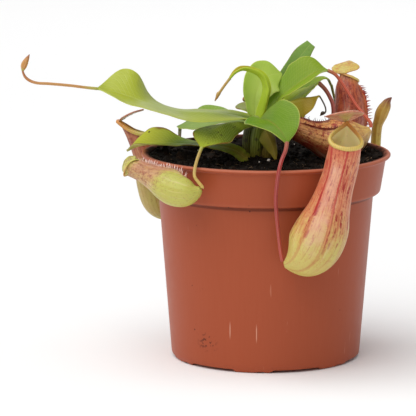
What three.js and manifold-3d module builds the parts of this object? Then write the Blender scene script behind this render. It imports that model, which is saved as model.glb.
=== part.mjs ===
// A pitcher plant in a plastic nursery pot.
// Millimetres, +Z up. The pot's axis is Z and its feet stand on Z = 0. The photo looks along +Y.
import * as THREE from "three";
import { mergeVertices } from "three/addons/utils/BufferGeometryUtils.js";
import Module from "manifold-3d";

const wasm = await Module();
wasm.setup();

// Pot
const POT_HEIGHT = 99;
const LIP_RADIUS = 60;
const LIP_DEPTH = 2;
const COLLAR_TOP_RADIUS = 57.7;
const COLLAR_FOOT_RADIUS = 55.1;
const COLLAR_FOOT = 80.8;
const BODY_TOP_RADIUS = 51.7;
const BODY_FOOT_RADIUS = 45.6;
const BODY_FOOT = 2.6;
const WALL = 1.3;
const PANEL_RISE = 1.2;
const FLOOR_TOP = 2.8;
const FOOT_RING_INNER = 39.5;
const FOOT_RING_OUTER = 44.2;
const FOOT_ANGLES = [-152.6, -97.8, -43.3, 7, 57, 107, 157];
const FOOT_WIDTH = 17.5;
const NOTCH_WIDTH = 3.6;
const NOTCH_OFFSET = 4.8;
const NOTCH_HEIGHT = 0.7;
const DRAIN_RADIUS = 4;
const DRAIN_CIRCLE = 27;
const POT_SIDES = 36;
const SOIL_SIDES = 32;

// Soil
const SOIL_LEVEL = 94.6;
const SOIL_GAP = 0.3;
const DISH_RISE = 2.2;
const DISH_RADIUS = 56;
const MOUNDS = [
  { x: -4, y: 0, radius: 8, height: 3.6 },
  { x: 2, y: -14, radius: 5, height: 2 },
];

// Crown
const CROWN = [-4, 2, 113];
const CROWN_RADIUS = 7.5;
const STEM_RADIUS = 4.2;
const STEM_FOOT = 80;
const BASE_RADIUS = 1.8;
const ROOTED_LEAF = "leaf_left_low";
const GAP = 0.3;

// Blades, tendrils and pitchers
const BLADE_THICKNESS = 0.7;
const LID_THICKNESS = 0.9;
const TENDRIL_SIDES = 6;
const PITCHER_WALL = 0.8;
const PITCHER_ANGLES = [0, 12, 24, 36, 62, 90, 118, 150, 180, 210, 242, 270, 298, 324, 336, 348];
const WING_ANGLE = 24;
const HAIR_LENGTH = 2.6;
const HAIR_RADIUS = 0.35;
const HAIR_TIP = 0.12;
const STATIONS = 57;
const CUT_LENGTH = 12;
const HOLE_LENGTH = 40;

const COLOURS = {
  pot: 0x9a4e37,
  soil: 0x241c17,
  stem: 0x6f7a33,
  fresh: 0x9fb63e,
  grown: 0x6f9a3a,
  brown: 0x8a8432,
  tan: 0xb98345,
  red: 0xa9493f,
  olive: 0xa39a3c,
  pitcher: 0xc78a68,
  pale: 0xbdb25f,
};

// Each blade: mid is its midrib, width its half widths, face the way its upper face looks.
// left and right give each half's rise from the midrib and its further curl, in degrees.
const LEAVES = [
  {
    name: "leaf_left_long",
    colour: "fresh",
    mid: [
      [-7, -3, 115], [-17, -5, 117.6], [-28, -7, 119], [-40, -9, 120], [-52, -11, 122.6],
      [-62, -12, 125.8], [-71, -12, 128.8], [-80.5, -12, 131],
    ],
    width: [3.4, 5.8, 9, 11.8, 13.8, 15.2, 16.2, 17, 16, 0.6],
    face: [[0, 0, 1]],
    left: { rise: [10, -12, -18, -17, -12, -6, -4, -3, 0, 5], curl: [0] },
    right: { rise: [40, 17, 4, -2, -3, 0, 12, 36, 38, 30], curl: [0] },
    steps: 18,
    across: 3,
  },
  {
    name: "leaf_left_back",
    colour: "grown",
    mid: [
      [-7, 4, 112.5], [-15, 12, 114.2], [-23, 21, 114.5], [-31, 30, 112.5], [-38, 39, 108.5],
      [-42.7, 47, 103.2],
    ],
    width: [3.2, 6.4, 11.2, 11.6, 8.6, 0.6],
    face: [[0, 0, 1]],
    left: { rise: [10, -15, -27, -27, -22, 0], curl: [0, -10, -10, -10, -5, 0] },
    right: { rise: [10, -10, -8, 16, 40, 20], curl: [0] },
  },
  {
    name: "leaf_left_low",
    colour: "grown",
    mid: [
      [-7.8, -5.4, 96.9], [-10.6, -7.4, 97.7], [-14.5, -7.6, 100.6], [-22, -5, 102.4],
      [-32, 0, 102.5], [-42, 5, 102], [-51, 9, 101.8], [-58, 11, 100.9], [-63, 13, 99.6], [-67.5, 15, 97.2],
    ],
    width: [2.8, 3.4, 4.6, 5.6, 6.2, 7.6, 9.4, 8, 0.6],
    face: [[-0.4, -1, 0.5], [0, -0.4, 1], [0, 0, 1], [0, 0, 1], [0, 0, 1], [0, 0, 1]],
    left: { rise: [0, 0, 0, 0, 0, 0, 2, 10, 0], curl: [0] },
    right: { rise: [0, 5, 5, 5, 8, 20, 45, 44, 20], curl: [0] },
  },
  {
    name: "leaf_front_left",
    colour: "grown",
    mid: [
      [-6, -4, 112.5], [-13, -11, 115], [-18, -19, 115.6], [-22.5, -26, 114], [-26.5, -32, 111.2],
      [-30.2, -38, 106.5],
    ],
    width: [3.2, 4.8, 7.2, 8.8, 9.6, 0.6],
    face: [[0, 0, 1]],
    left: { rise: [0, -20, -26, -26, -18, 0], curl: [0, -20, -20, -10, -5, 0] },
    right: { rise: [10, -5, -14, -2, 7, 5], curl: [0] },
  },
  {
    name: "leaf_front",
    colour: "fresh",
    mid: [
      [-3.5, -4, 113.8], [-0.5, -12, 116], [3, -24, 116.2], [6.1, -36, 115], [8.7, -46, 112.8],
      [9.7, -50, 110.8],
    ],
    width: [3, 6.2, 11.2, 13.6, 13, 10.2, 5.6, 0.6],
    face: [[0, 0, 1]],
    left: { rise: [55, 62, 62, 49, 35, 23, 8, 0], curl: [0, 0, -5, -10, -5, 0, 0, 0] },
    right: { rise: [50, 20, 5, 2, 7, 10, 14, 0], curl: [0] },
    steps: 14,
    across: 3,
  },
  {
    name: "leaf_young",
    colour: "fresh",
    mid: [
      [-4.8, 1.2, 113], [-3.9, -0.2, 119.4], [-2, -2.6, 126], [-1.3, -3.4, 130.8], [-3, -4, 135.6],
      [-6.8, -4.5, 138.2], [-11.1, -5, 139.2], [-14.4, -5.6, 138], [-17.2, -6, 135.4],
    ],
    width: [4.2, 4.5, 4.5, 4.2, 3.8, 3.2, 2.6, 1.8, 0.7],
    face: [[1, -0.4, 0], [0.9, -0.3, 0.3], [0.6, -0.2, 0.8], [0, -0.2, 1]],
    left: { rise: [30], curl: [50] },
    right: { rise: [30], curl: [50] },
    steps: 16,
  },
  {
    name: "leaf_upright",
    colour: "grown",
    mid: [
      [-5.3, 4.2, 115.5], [-5.3, 5.3, 121], [-4.5, 6.5, 127], [-2, 9, 132], [2.2, 12, 134.6],
      [7.5, 15, 134.8],
    ],
    width: [3.4, 4.8, 7.2, 9, 8.6, 0.6],
    face: [[0, -1, 0.2], [0, -1, 0.3], [0, -0.9, 0.5], [-0.1, -0.8, 0.6]],
    left: { rise: [15, 12, 10, 8, 5, 0], curl: [0, 0, 10, 10, 0, 0] },
    right: { rise: [15, 10, 5, 0, -5, 0], curl: [0] },
  },
  {
    name: "leaf_right_upper",
    colour: "fresh",
    mid: [
      [0, 3.8, 113.5], [3.8, 5.9, 119], [6.8, 8.6, 124], [14.4, 9.6, 129.7], [18.8, 10.4, 132.9],
      [24.4, 11.4, 136], [29.7, 12, 137],
    ],
    width: [3, 3.6, 5, 7.2, 9.4, 11, 10.8, 0.6],
    face: [[-0.5, 0, 0.8]],
    left: { rise: [60, 58, 58, 60, 62, 60, 50, 20], curl: [0] },
    right: { rise: [20, 5, 0, -3, -4, -4, 0, 0], curl: [0] },
    steps: 14,
  },
  {
    name: "leaf_right_under",
    colour: "grown",
    mid: [
      [1.5, 5, 111], [6, 9, 117.6], [11, 11.5, 122], [16.5, 13, 125.4], [21.3, 14, 128],
      [25.3, 15, 130.6],
    ],
    width: [2.6, 4.2, 7.2, 8, 6, 0.6],
    face: [[-0.4, 0, 0.9]],
    left: { rise: [10, 15, 15, 12, 8, 0], curl: [0] },
    right: { rise: [10, 0, -4, -6, -4, 0], curl: [0] },
  },
  {
    name: "leaf_top",
    colour: "grown",
    mid: [
      [-2.6, 7.8, 115.2], [0.4, 16.8, 119.8], [4.8, 21.4, 124.6], [9, 23.6, 130.6], [12.6, 24.6, 136.4],
      [16, 25.4, 141.2], [18.9, 27, 144.8], [21.8, 28, 148],
    ],
    width: [2.4, 3.8, 4.4, 4.4, 4.2, 4, 4.2, 2.6],
    face: [[-0.2, -1, 0.3]],
    left: { rise: [10, 12, 10, 8, 5, 0], curl: [0] },
    right: { rise: [10, 12, 10, 8, 5, 0], curl: [0] },
  },
  {
    name: "leaf_right_brown",
    colour: "brown",
    mid: [
      [0.8, 0.2, 110], [5.5, 1.4, 116.4], [10.5, 2.6, 121.9], [16.3, 3.2, 124.2], [21.2, 3.8, 124.6],
      [25.6, 4.4, 125.6],
    ],
    width: [3, 5.5, 9, 9.8, 7.6, 0.6],
    face: [[-0.3, 0, 1]],
    left: { rise: [-20, -60, -84, -84, -70, 0], curl: [0] },
    right: { rise: [-20, -50, -80, -84, -70, 0], curl: [0] },
  },
  {
    name: "leaf_right_far",
    colour: "grown",
    mid: [
      [-0.4, 6.8, 111.8], [8.2, 20.8, 119.4], [17, 27, 126.4], [25, 30, 131], [29.6, 31.5, 130.8],
      [31.9, 33, 127],
    ],
    width: [2.8, 5, 7, 6.4, 3.6, 0.6],
    face: [[-0.3, -0.2, 1], [-0.3, -0.2, 1], [0.6, 0.2, 0.8]],
    left: { rise: [10, 5, 5, 0, -10, 0], curl: [0] },
    right: { rise: [0, -22, -22, -20, -20, 0], curl: [0] },
  },
  {
    name: "leaf_old",
    colour: "brown",
    mid: [[-2, -4.6, 112.4], [1, -8.8, 107.5], [3.4, -9.8, 102], [4.6, -10.6, 97]],
    width: [3.6, 5, 4.8, 3, 0.6],
    face: [[0.3, -1, 0]],
    left: { rise: [-30], curl: [-20] },
    right: { rise: [-30], curl: [-20] },
  },
  {
    name: "leaf_back",
    colour: "brown",
    mid: [
      [-4, 7.4, 111], [-5.6, 13, 116.6], [-8.5, 20, 118.4], [-6.5, 28, 119.4], [-2, 35, 118],
    ],
    width: [2.2, 4, 6.6, 6, 0.6],
    face: [[0, 0, 1]],
    left: { rise: [5, 0, -8, -6, 0], curl: [0] },
    right: { rise: [5, 0, 0, 0, 0], curl: [0] },
  },
];

// Each tendril is a round cord of one thickness, from a leaf's tip to a pitcher's foot or a bud.
const TENDRILS = [
  {
    name: "tendril_left_long",
    colour: "tan",
    radius: 0.75,
    path: [
      [-80.5, -12, 131], [-86, -13, 131.7], [-93, -14, 132.7], [-103, -15, 133.7], [-108.5, -15, 134],
      [-112.3, -14, 135], [-114.8, -13, 137], [-115.9, -12, 140], [-115, -12, 142.6],
    ],
    bud: { foot: [-115.2, -12, 141.6], tip: [-112.8, -12, 146.6], radius: 1.3 },
  },
  {
    name: "tendril_left_back",
    colour: "red",
    radius: 0.9,
    path: [
      [-42.7, 47, 103.2], [-43, 51, 98.5], [-43.4, 53.5, 91], [-44.5, 55, 79], [-46.5, 55.5, 67],
      [-48, 54.4, 58.6], [-47.2, 52.2, 56.4], [-48.8, 50, 57.8],
    ],
  },
  {
    name: "tendril_front_left",
    colour: "tan",
    radius: 0.85,
    path: [
      [-30.2, -38, 106.5], [-31, -42, 105], [-32.1, -48.5, 102.4], [-33, -54, 99.2], [-33, -57, 96],
      [-31.2, -57.6, 93.4], [-29.6, -57.8, 91.4], [-29.6, -58, 90.6],
    ],
  },
  {
    name: "tendril_front",
    colour: "red",
    radius: 1,
    path: [
      [9.7, -50, 110.8], [9, -56, 108], [7.4, -61.5, 104.8], [6, -64, 100], [5.1, -63.5, 93.6],
      [4.6, -62, 86.3], [5, -60.5, 78.9], [6, -59.5, 69.2], [7, -59, 61], [8, -59.2, 56.6],
    ],
  },
  {
    name: "tendril_young",
    colour: "tan",
    radius: 0.7,
    path: [
      [-17.2, -6, 135.4], [-19.6, -6.8, 132.4], [-21.8, -7.5, 129.3], [-23.2, -8, 127],
      [-24.5, -8, 124.6],
    ],
    bud: { foot: [-21.8, -7.6, 129.2], tip: [-24, -8, 125.6], radius: 0.95 },
  },
  {
    name: "tendril_right_upper",
    colour: "red",
    radius: 0.9,
    path: [
      [29.7, 12, 137], [33.8, 13, 134.4], [38.2, 13, 128.1], [43, 11.5, 120.8], [46.4, 10, 116.8],
      [48.8, 9, 114], [50.4, 8.4, 111.8], [50.6, 8.2, 109.8],
    ],
  },
  {
    name: "tendril_right_under",
    colour: "red",
    radius: 1.1,
    path: [
      [25.3, 15, 130.6], [28.4, 15.8, 127.4], [30.6, 16, 123.9], [32.3, 16.6, 119.5], [32.4, 17.2, 113.5],
      [30, 19.5, 107], [27, 25, 102], [26.6, 31, 98.8], [28.4, 33.8, 97.8], [30.4, 33.4, 97.4],
    ],
  },
  {
    name: "tendril_right_brown",
    colour: "soil",
    radius: 0.4,
    path: [
      [25.6, 4.4, 125.6], [27.2, 5, 122.8], [28.5, 5, 119.9], [28.6, 5, 117.8], [27.4, 5, 116.6],
      [25.8, 5, 115.8],
    ],
    bud: { foot: [28.2, 5, 117.6], tip: [26, 5, 116], radius: 0.9 },
  },
  {
    name: "tendril_right_far",
    colour: "olive",
    radius: 0.7,
    path: [
      [31.9, 33, 127], [33.3, 37, 121], [35.5, 43, 112.5], [40, 49, 103.5], [44.6, 51.6, 95],
      [49.5, 51.5, 85], [52.6, 49.5, 78], [54.2, 47, 76.4],
    ],
  },
  {
    name: "tendril_back",
    colour: "tan",
    radius: 0.7,
    path: [[-2, 35, 118], [-3, 39.4, 116], [-7, 41.4, 115], [-10, 41, 116.6], [-10.6, 40, 119.6]],
    bud: { foot: [-10.5, 40.3, 117.8], tip: [-10.2, 39.6, 121], radius: 1.1 },
  },
];

// Each pitcher: path runs from its foot up to the middle of its mouth, radius is evenly spaced along it.
// front is the side of the wings and tilt the slope of the mouth. pinch narrows the mouth's back,
// flare widens its sides and dip lowers them.
const PITCHERS = [
  {
    name: "pitcher_front",
    colour: "pitcher",
    path: [
      [8.6, -60, 55], [13.5, -60.3, 56.3], [18.6, -60.8, 59.6], [22.7, -61.1, 64.8], [25.9, -61.3, 71.4],
      [28.5, -61.2, 79], [30.6, -61, 86], [32.3, -60.8, 92], [33.8, -60.6, 97], [35.4, -60.6, 104],
      [36.3, -60.8, 110], [37, -61, 116],
    ],
    radius: [1.4, 9.2, 12.6, 13, 12.1, 10, 8.7, 8, 7.9, 8, 8],
    front: [[-0.5, -1, 0], [-0.2, -1, 0], [0, -1, 0]],
    tilt: 30,
    pinch: 0.86,
    flare: 0.2,
    dip: 0,
    lip: 1.4,
    wings: { height: 0.5, from: 0.25, to: 1, spikes: 0 },
  },
  {
    name: "pitcher_left_front",
    colour: "pale",
    path: [
      [-30.2, -58, 90.4], [-33, -57.6, 88.6], [-39.5, -56, 88.6], [-45, -53, 90.4], [-51.7, -48, 93],
      [-58, -42.5, 95.4], [-63, -38, 97],
    ],
    radius: [1.3, 5.7, 7.4, 7.7, 6.8, 5.4, 4.5, 4.2, 4.2],
    front: [[0.1, 0.5, 1], [0.1, 0.5, 1]],
    tilt: 25,
    pinch: 0.7,
    flare: 0.15,
    dip: 0,
    lip: 0.8,
    wings: { height: 1.3, from: 0.3, to: 0.95, spikes: 5 },
  },
  {
    name: "pitcher_lying",
    colour: "pitcher",
    path: [
      [50.2, 8, 109], [47, 7.5, 107], [42, 6.5, 105.3], [36, 4.5, 104.3], [29.5, 2, 104.4],
      [22.5, -1, 106.8], [16.3, -3.9, 109.8], [10.8, -6.4, 112.4],
    ],
    radius: [1.4, 6.5, 9.4, 10.4, 9.8, 7.4, 6, 5.4, 5.3],
    front: [[0.2, -0.35, 1], [0.3, -0.35, 1]],
    tilt: 20,
    pinch: 0.7,
    flare: 0.15,
    dip: 0,
    lip: 0.8,
    wings: { height: 1, from: 0.3, to: 0.95, spikes: 5 },
  },
  {
    name: "pitcher_standing",
    colour: "pitcher",
    path: [
      [31, 33, 96.4], [34, 31, 98.4], [37, 28.8, 103], [39.8, 28, 111], [40.6, 28.6, 119],
      [40, 29.4, 125.4], [40.2, 30.2, 131.4],
    ],
    radius: [1.4, 7.5, 8.8, 8.7, 8.3, 7.6, 6.8, 5.8, 4.4],
    front: [[0.9, 0.45, 0]],
    tilt: 22,
    pinch: 0.7,
    flare: 0.15,
    dip: 0,
    lip: 0.8,
    wings: { height: 1.3, from: 0.3, to: 0.95, spikes: 5 },
  },
  {
    name: "pitcher_left_back",
    colour: "pitcher",
    path: [
      [-48.6, 50, 57.6], [-51.4, 49, 61.4], [-53.8, 47, 68], [-55.2, 45, 75.5], [-57, 43.5, 83],
      [-59, 43, 91], [-61.8, 43.6, 98.5], [-64.6, 45, 104.5],
    ],
    radius: [1.4, 6.4, 8.4, 8.8, 8.4, 7.4, 6.6, 6.4, 6.4],
    front: [[1, -0.2, 0]],
    tilt: 42,
    pinch: 0.6,
    flare: 0.1,
    dip: 3.4,
    lip: 1.3,
    wings: { height: 0.8, from: 0.3, to: 0.95, spikes: 0 },
  },
];

// The lids: blades that start at the back of a mouth and reach over it.
const LIDS = [
  {
    name: "lid_front",
    colour: "pitcher",
    mid: [[37.2, -52, 121.4], [37.6, -56.4, 125], [38.6, -63, 127.2], [40, -69, 128.6]],
    width: [2.2, 9, 10.8, 8.4, 1.4],
    face: [[0.05, 0.3, 1]],
    left: { rise: [6], curl: [-12] },
    right: { rise: [-6], curl: [-12] },
  },
  {
    name: "lid_left_front",
    colour: "pale",
    mid: [[-65.8, -38.4, 93.4], [-66, -37.8, 97], [-64.4, -37, 100.6], [-61.2, -36.4, 102]],
    width: [1.4, 3.4, 4.3, 4.4, 4, 2.9, 0.9],
    face: [[-1, -0.5, 0], [-0.8, -0.5, 0.6], [-0.2, -0.4, 1]],
    left: { rise: [-10], curl: [0] },
    right: { rise: [-10], curl: [0] },
  },
  {
    name: "lid_lying",
    colour: "pitcher",
    mid: [[8.6, -7.3, 106.1], [6.4, -8.5, 107.8], [5.2, -9.7, 110.4], [5.2, -10.9, 113.4]],
    width: [1.4, 3.6, 4.5, 4.6, 4.1, 2.9, 0.9],
    face: [[-0.6, 0, -1], [-1, 0, 0]],
    left: { rise: [0], curl: [0] },
    right: { rise: [0], curl: [0] },
  },
  {
    name: "lid_standing",
    colour: "pale",
    mid: [[37, 27.4, 133.6], [37.6, 30, 135.4], [39.2, 34, 137.4], [40.8, 38, 138.2]],
    width: [1.8, 4.7, 6.6, 7.2, 6.7, 4.9, 1.2],
    face: [[-0.3, -0.7, 0.8], [-0.2, -0.4, 1]],
    left: { rise: [-6], curl: [-8] },
    right: { rise: [-6], curl: [-8] },
  },
  {
    name: "lid_left_back",
    colour: "pitcher",
    mid: [[-72.6, 46.6, 107.2], [-69.6, 46, 109.6], [-65.6, 45.6, 111.6], [-60.6, 45.6, 113]],
    width: [1.6, 4.5, 5.8, 6, 5.6, 4.1, 1],
    face: [[-0.4, 0.17, 1]],
    left: { rise: [0], curl: [-6] },
    right: { rise: [0], curl: [-6] },
  },
];

// The unopened pitcher: a closed slim pod with its spur at the tip.
const POD = {
  name: "pitcher_unopened",
  colour: "olive",
  path: [
    [54.8, 46.4, 76.2], [55.4, 44.8, 78], [54.6, 43.2, 84], [54.2, 42.2, 91], [54.2, 42, 98],
    [54.7, 40.5, 105.3], [55.8, 39, 109.4], [57.1, 38.4, 113.1], [58.5, 38, 115.9], [59.7, 38, 118.4],
    [61.6, 38, 120.4],
  ],
  radius: [0.8, 2, 2.4, 2.5, 2.5, 2.5, 2.5, 2.6, 3.2, 2.6, 0.3],
};

const add = (a, b, s = 1) => a.map((v, i) => v + s * b[i]);
const dot = (a, b) => a[0] * b[0] + a[1] * b[1] + a[2] * b[2];
const cross = (a, b) => [
  a[1] * b[2] - a[2] * b[1],
  a[2] * b[0] - a[0] * b[2],
  a[0] * b[1] - a[1] * b[0],
];
const unit = (a) => a.map((v) => v / Math.hypot(...a));
const radians = THREE.MathUtils.degToRad;
const Y_AXIS = new THREE.Vector3(0, 1, 0);
const turnTo = (way) => new THREE.Quaternion().setFromUnitVectors(Y_AXIS, new THREE.Vector3(...way));

// A value between evenly spaced ones, on a smooth curve through them. Values may be numbers or lists.
function blend(values, t) {
  if (values.length === 1) return values[0];
  const span = Math.min(Math.max(t, 0), 1) * (values.length - 1);
  const i = Math.min(Math.floor(span), values.length - 2);
  const f = span - i;
  const mixed = (b, c, a, d) =>
    0.5 * (2 * b + (c - a) * f + (2 * a - 5 * b + 4 * c - d) * f ** 2 + (3 * b - a - 3 * c + d) * f ** 3);
  const b = values[i];
  const c = values[i + 1];
  if (Array.isArray(b)) return b.map((_, k) => blend(values.map((v) => v[k]), t));
  return mixed(b, c, i ? values[i - 1] : 2 * b - c, i + 2 < values.length ? values[i + 2] : 2 * c - b);
}

// Points evenly spaced along the smooth curve through the given ones.
function smooth(points, count) {
  const curve = new THREE.CatmullRomCurve3(
    points.map((p) => new THREE.Vector3(...p)),
    false,
    "catmullrom",
    0.5,
  );
  return curve.getSpacedPoints(count - 1).map((p) => p.toArray());
}

// The direction of travel, the side and the face at each point of a line.
function framesAlong(line, faces) {
  return line.map((point, i) => {
    const before = line[Math.max(i - 1, 0)];
    const after = line[Math.min(i + 1, line.length - 1)];
    const along = unit(add(after, before, -1));
    const hint = blend(faces, i / (line.length - 1));
    const face = unit(add(hint, along, -dot(hint, along)));
    return { point, along, side: cross(along, face), face };
  });
}

// A closed solid from points and triangles.
function solid(points, triangles) {
  return new wasm.Manifold(
    new wasm.Mesh({
      numProp: 3,
      vertProperties: Float32Array.from(points.flat()),
      triVerts: Uint32Array.from(triangles.flat()),
    }),
  );
}

// A closed solid from a geometry of three.js.
function solidOf(geometry) {
  const plain = geometry.index ? geometry.toNonIndexed() : geometry.clone();
  plain.deleteAttribute("normal");
  plain.deleteAttribute("uv");
  const merged = mergeVertices(plain, 1e-4);
  return new wasm.Manifold(
    new wasm.Mesh({
      numProp: 3,
      vertProperties: Float32Array.from(merged.attributes.position.array),
      triVerts: Uint32Array.from(merged.index.array),
    }),
  );
}

// Rows of equal length joined into a closed tube, with a fan over each end.
function tubeOfRows(rows) {
  const sides = rows[0].length;
  const points = rows.flat();
  const triangles = [];
  for (let i = 0; i + 1 < rows.length; i++) {
    for (let j = 0; j < sides; j++) {
      const a = i * sides + j;
      const b = i * sides + ((j + 1) % sides);
      triangles.push([a, b, b + sides], [a, b + sides, a + sides]);
    }
  }
  for (const [row, first, turn] of [[rows[0], 0, 1], [rows.at(-1), (rows.length - 1) * sides, 0]]) {
    const middle = row.reduce((sum, p) => add(sum, p, 1 / sides), [0, 0, 0]);
    points.push(middle);
    for (let j = 0; j < sides; j++) {
      const a = first + j;
      const b = first + ((j + 1) % sides);
      triangles.push(turn ? [points.length - 1, b, a] : [points.length - 1, a, b]);
    }
  }
  const made = solid(points, triangles);
  return made.volume() < 0 ? solid(points, triangles.map(([a, b, c]) => [a, c, b])) : made;
}

// The middle surface of a blade as rows of points from its left edge to its right edge.
// Across a half, the surface starts at the rise angle and turns by the curl angle up to its edge.
function bladeRows({ mid, width, face, left, right, steps = 11, across = 2 }) {
  const frames = framesAlong(smooth(mid, steps), face);
  return frames.map(({ point, side, face: up }, i) => {
    const t = i / (steps - 1);
    const half = Math.max(blend(width, t), 0.4);
    const row = [];
    for (let j = -across; j <= across; j++) {
      const { rise, curl } = j < 0 ? left : right;
      const start = radians(blend(rise, t));
      const turn = radians(blend(curl, t)) || 1e-3;
      const s = Math.abs(j) / across;
      const out = (Math.sin(start + turn * s) - Math.sin(start)) / turn;
      const lift = (Math.cos(start) - Math.cos(start + turn * s)) / turn;
      row.push(add(add(point, side, Math.sign(j) * half * out), up, half * lift));
    }
    return row;
  });
}

// A blade of even thickness round its middle surface, split into the same triangles on both faces.
function bladeSolid(spec, thickness = BLADE_THICKNESS) {
  const rows = bladeRows(spec);
  const last = rows.length - 1;
  const wide = rows[0].length;
  const normals = rows.map((row, i) =>
    row.map((_, j) => {
      const along = add(rows[Math.min(i + 1, last)][j], rows[Math.max(i - 1, 0)][j], -1);
      const over = add(row[Math.min(j + 1, wide - 1)], row[Math.max(j - 1, 0)], -1);
      return unit(cross(along, over));
    }),
  );
  const faces = [0.5, -0.5].map((share) =>
    rows.flatMap((row, i) => row.map((p, j) => add(p, normals[i][j], share * thickness))),
  );
  const below = rows.length * wide;
  const triangles = [];
  for (let i = 0; i < last; i++) {
    for (let j = 0; j + 1 < wide; j++) {
      const a = i * wide + j;
      const [b, c, d] = [a + 1, a + wide + 1, a + wide];
      triangles.push([a, c, b], [a, d, c]);
      triangles.push([a + below, b + below, c + below], [a + below, c + below, d + below]);
    }
  }
  const edge = [];
  for (let j = 0; j + 1 < wide; j++) edge.push(j);
  for (let i = 0; i < last; i++) edge.push(i * wide + wide - 1);
  for (let j = wide - 1; j > 0; j--) edge.push(last * wide + j);
  for (let i = last; i > 0; i--) edge.push(i * wide);
  edge.forEach((a, k) => {
    const b = edge[(k + 1) % edge.length];
    triangles.push([a, b, b + below], [a, b + below, a + below]);
  });
  const points = faces.flat();
  const made = solid(points, triangles);
  return made.volume() < 0 ? solid(points, triangles.map(([a, b, c]) => [a, c, b])) : made;
}

// A round cord along a path.
function cordSolid({ path, radius }) {
  const route = new THREE.CatmullRomCurve3(
    path.map((p) => new THREE.Vector3(...p)),
    false,
    "catmullrom",
    0.5,
  );
  const section = new THREE.Shape();
  section.absarc(0, 0, radius, 0, 2 * Math.PI);
  const steps = Math.max(6, Math.round(route.getLength() / (5 * radius)));
  return solidOf(
    new THREE.ExtrudeGeometry(section, { steps, curveSegments: TENDRIL_SIDES / 2, extrudePath: route }),
  );
}

// A spindle from foot to tip.
function budSolid({ foot, tip, radius }) {
  const length = Math.hypot(...add(tip, foot, -1));
  const profile = [
    [0, 0],
    [radius * 0.7, length * 0.05],
    [radius, length * 0.4],
    [radius * 0.6, length * 0.85],
    [0, length],
  ];
  const geometry = new THREE.LatheGeometry(profile.map((p) => new THREE.Vector2(...p)), 8);
  geometry.applyQuaternion(turnTo(unit(add(tip, foot, -1))));
  geometry.translate(...foot);
  return solidOf(geometry);
}

// The rings of a pitcher's wall at a distance inside its outer face, each as points and its own axes.
// Towards the mouth each ring leans over by the tilt and narrows at its back, where the lid grows.
function pitcherRing(spec, t, frame, inset, withWings) {
  const lean = radians(spec.tilt) * THREE.MathUtils.smoothstep(t, 0.62, 1);
  const ahead = add(frame.face.map((v) => v * Math.cos(lean)), frame.along, -Math.sin(lean));
  const radius = Math.max(blend(spec.radius, t) - inset, 0.5);
  const nearMouth = THREE.MathUtils.smoothstep(t, 0.8, 1);
  const { wings } = spec;
  const raised = withWings && t >= wings.from && t <= wings.to ? wings.height : 0;
  return PITCHER_ANGLES.map((degrees) => {
    const angle = radians(degrees);
    const wing = degrees === WING_ANGLE || degrees === 360 - WING_ANGLE ? raised : 0;
    const back = (1 - Math.cos(angle)) / 2;
    const reach = radius + wing;
    const forward = (reach * Math.cos(angle)) / Math.cos(lean);
    const narrow = 1 - spec.pinch * nearMouth * back ** 1.4;
    const aside = reach * Math.sin(angle) * narrow * (1 + spec.flare * nearMouth);
    const drop = spec.dip * nearMouth * Math.sin(angle) ** 2;
    return add(add(add(frame.point, ahead, forward), frame.side, aside), frame.along, -drop);
  });
}

// Rings of the rolled lip: each is so far inside the wall and so far above the mouth, in lips.
function lipRings(spec, mouth, places, room) {
  const lean = radians(spec.tilt);
  const open = unit(add(mouth.along.map((v) => v * Math.cos(lean)), mouth.face, Math.sin(lean)));
  return places.map(([inset, lift]) =>
    pitcherRing(spec, 1, mouth, inset * spec.lip - room, false).map((p) =>
      add(p, open, lift * spec.lip + Math.sign(lift) * room),
    ),
  );
}

// A pitcher: an outer wall, a rolled lip round the mouth and an inner wall down to a closed floor.
function pitcherSolid(spec, outer = 14, inner = 5) {
  const frames = framesAlong(smooth(spec.path, STATIONS), spec.front);
  const at = (t) => frames[Math.round(t * (STATIONS - 1))];
  const rows = [];
  for (let i = 0; i <= outer; i++) {
    const t = i / outer;
    rows.push(pitcherRing(spec, t, at(t), 0, true));
  }
  rows.push(...lipRings(spec, at(1), [[-1, -0.5], [-1, 0.3], [0, 0.9], [0.8, 0.3]], 0));
  for (let i = inner; i >= 1; i--) {
    const t = 0.08 + (0.9 * i) / inner;
    rows.push(pitcherRing(spec, t, at(t), PITCHER_WALL, false));
  }
  return tubeOfRows(rows);
}

// The space that a pitcher needs: its outer form with a gap all round.
function pitcherSpace(spec, stations = 14) {
  const frames = framesAlong(smooth(spec.path, STATIONS), spec.front);
  const rows = [];
  for (let i = 0; i <= stations; i++) {
    const t = i / stations;
    const frame = { ...frames[Math.round(t * (STATIONS - 1))] };
    if (i === 0) frame.point = add(frame.point, frame.along, -GAP);
    rows.push(pitcherRing(spec, t, frame, -GAP, true));
  }
  rows.push(...lipRings(spec, frames.at(-1), [[-1, -0.9], [-1, 0.6], [0.4, 1.4]], GAP));
  return tubeOfRows(rows);
}

function podSolid({ path, radius }, sides = 8, stations = 16) {
  const frames = framesAlong(smooth(path, stations), [[0, -1, 0]]);
  const rows = frames.map(({ point, side, face }, i) =>
    Array.from({ length: sides }, (_, j) => {
      const angle = (2 * Math.PI * j) / sides;
      const reach = blend(radius, i / (stations - 1));
      return add(add(point, side, reach * Math.cos(angle)), face, reach * Math.sin(angle));
    }),
  );
  return tubeOfRows(rows);
}

// One hair: a slim three-sided cone.
function hairSolid(foot, out) {
  const cone = new THREE.CylinderGeometry(HAIR_TIP, HAIR_RADIUS, HAIR_LENGTH, 3);
  cone.translate(0, HAIR_LENGTH / 2, 0);
  cone.applyQuaternion(turnTo(out)).translate(...foot);
  return solidOf(cone);
}

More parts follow.
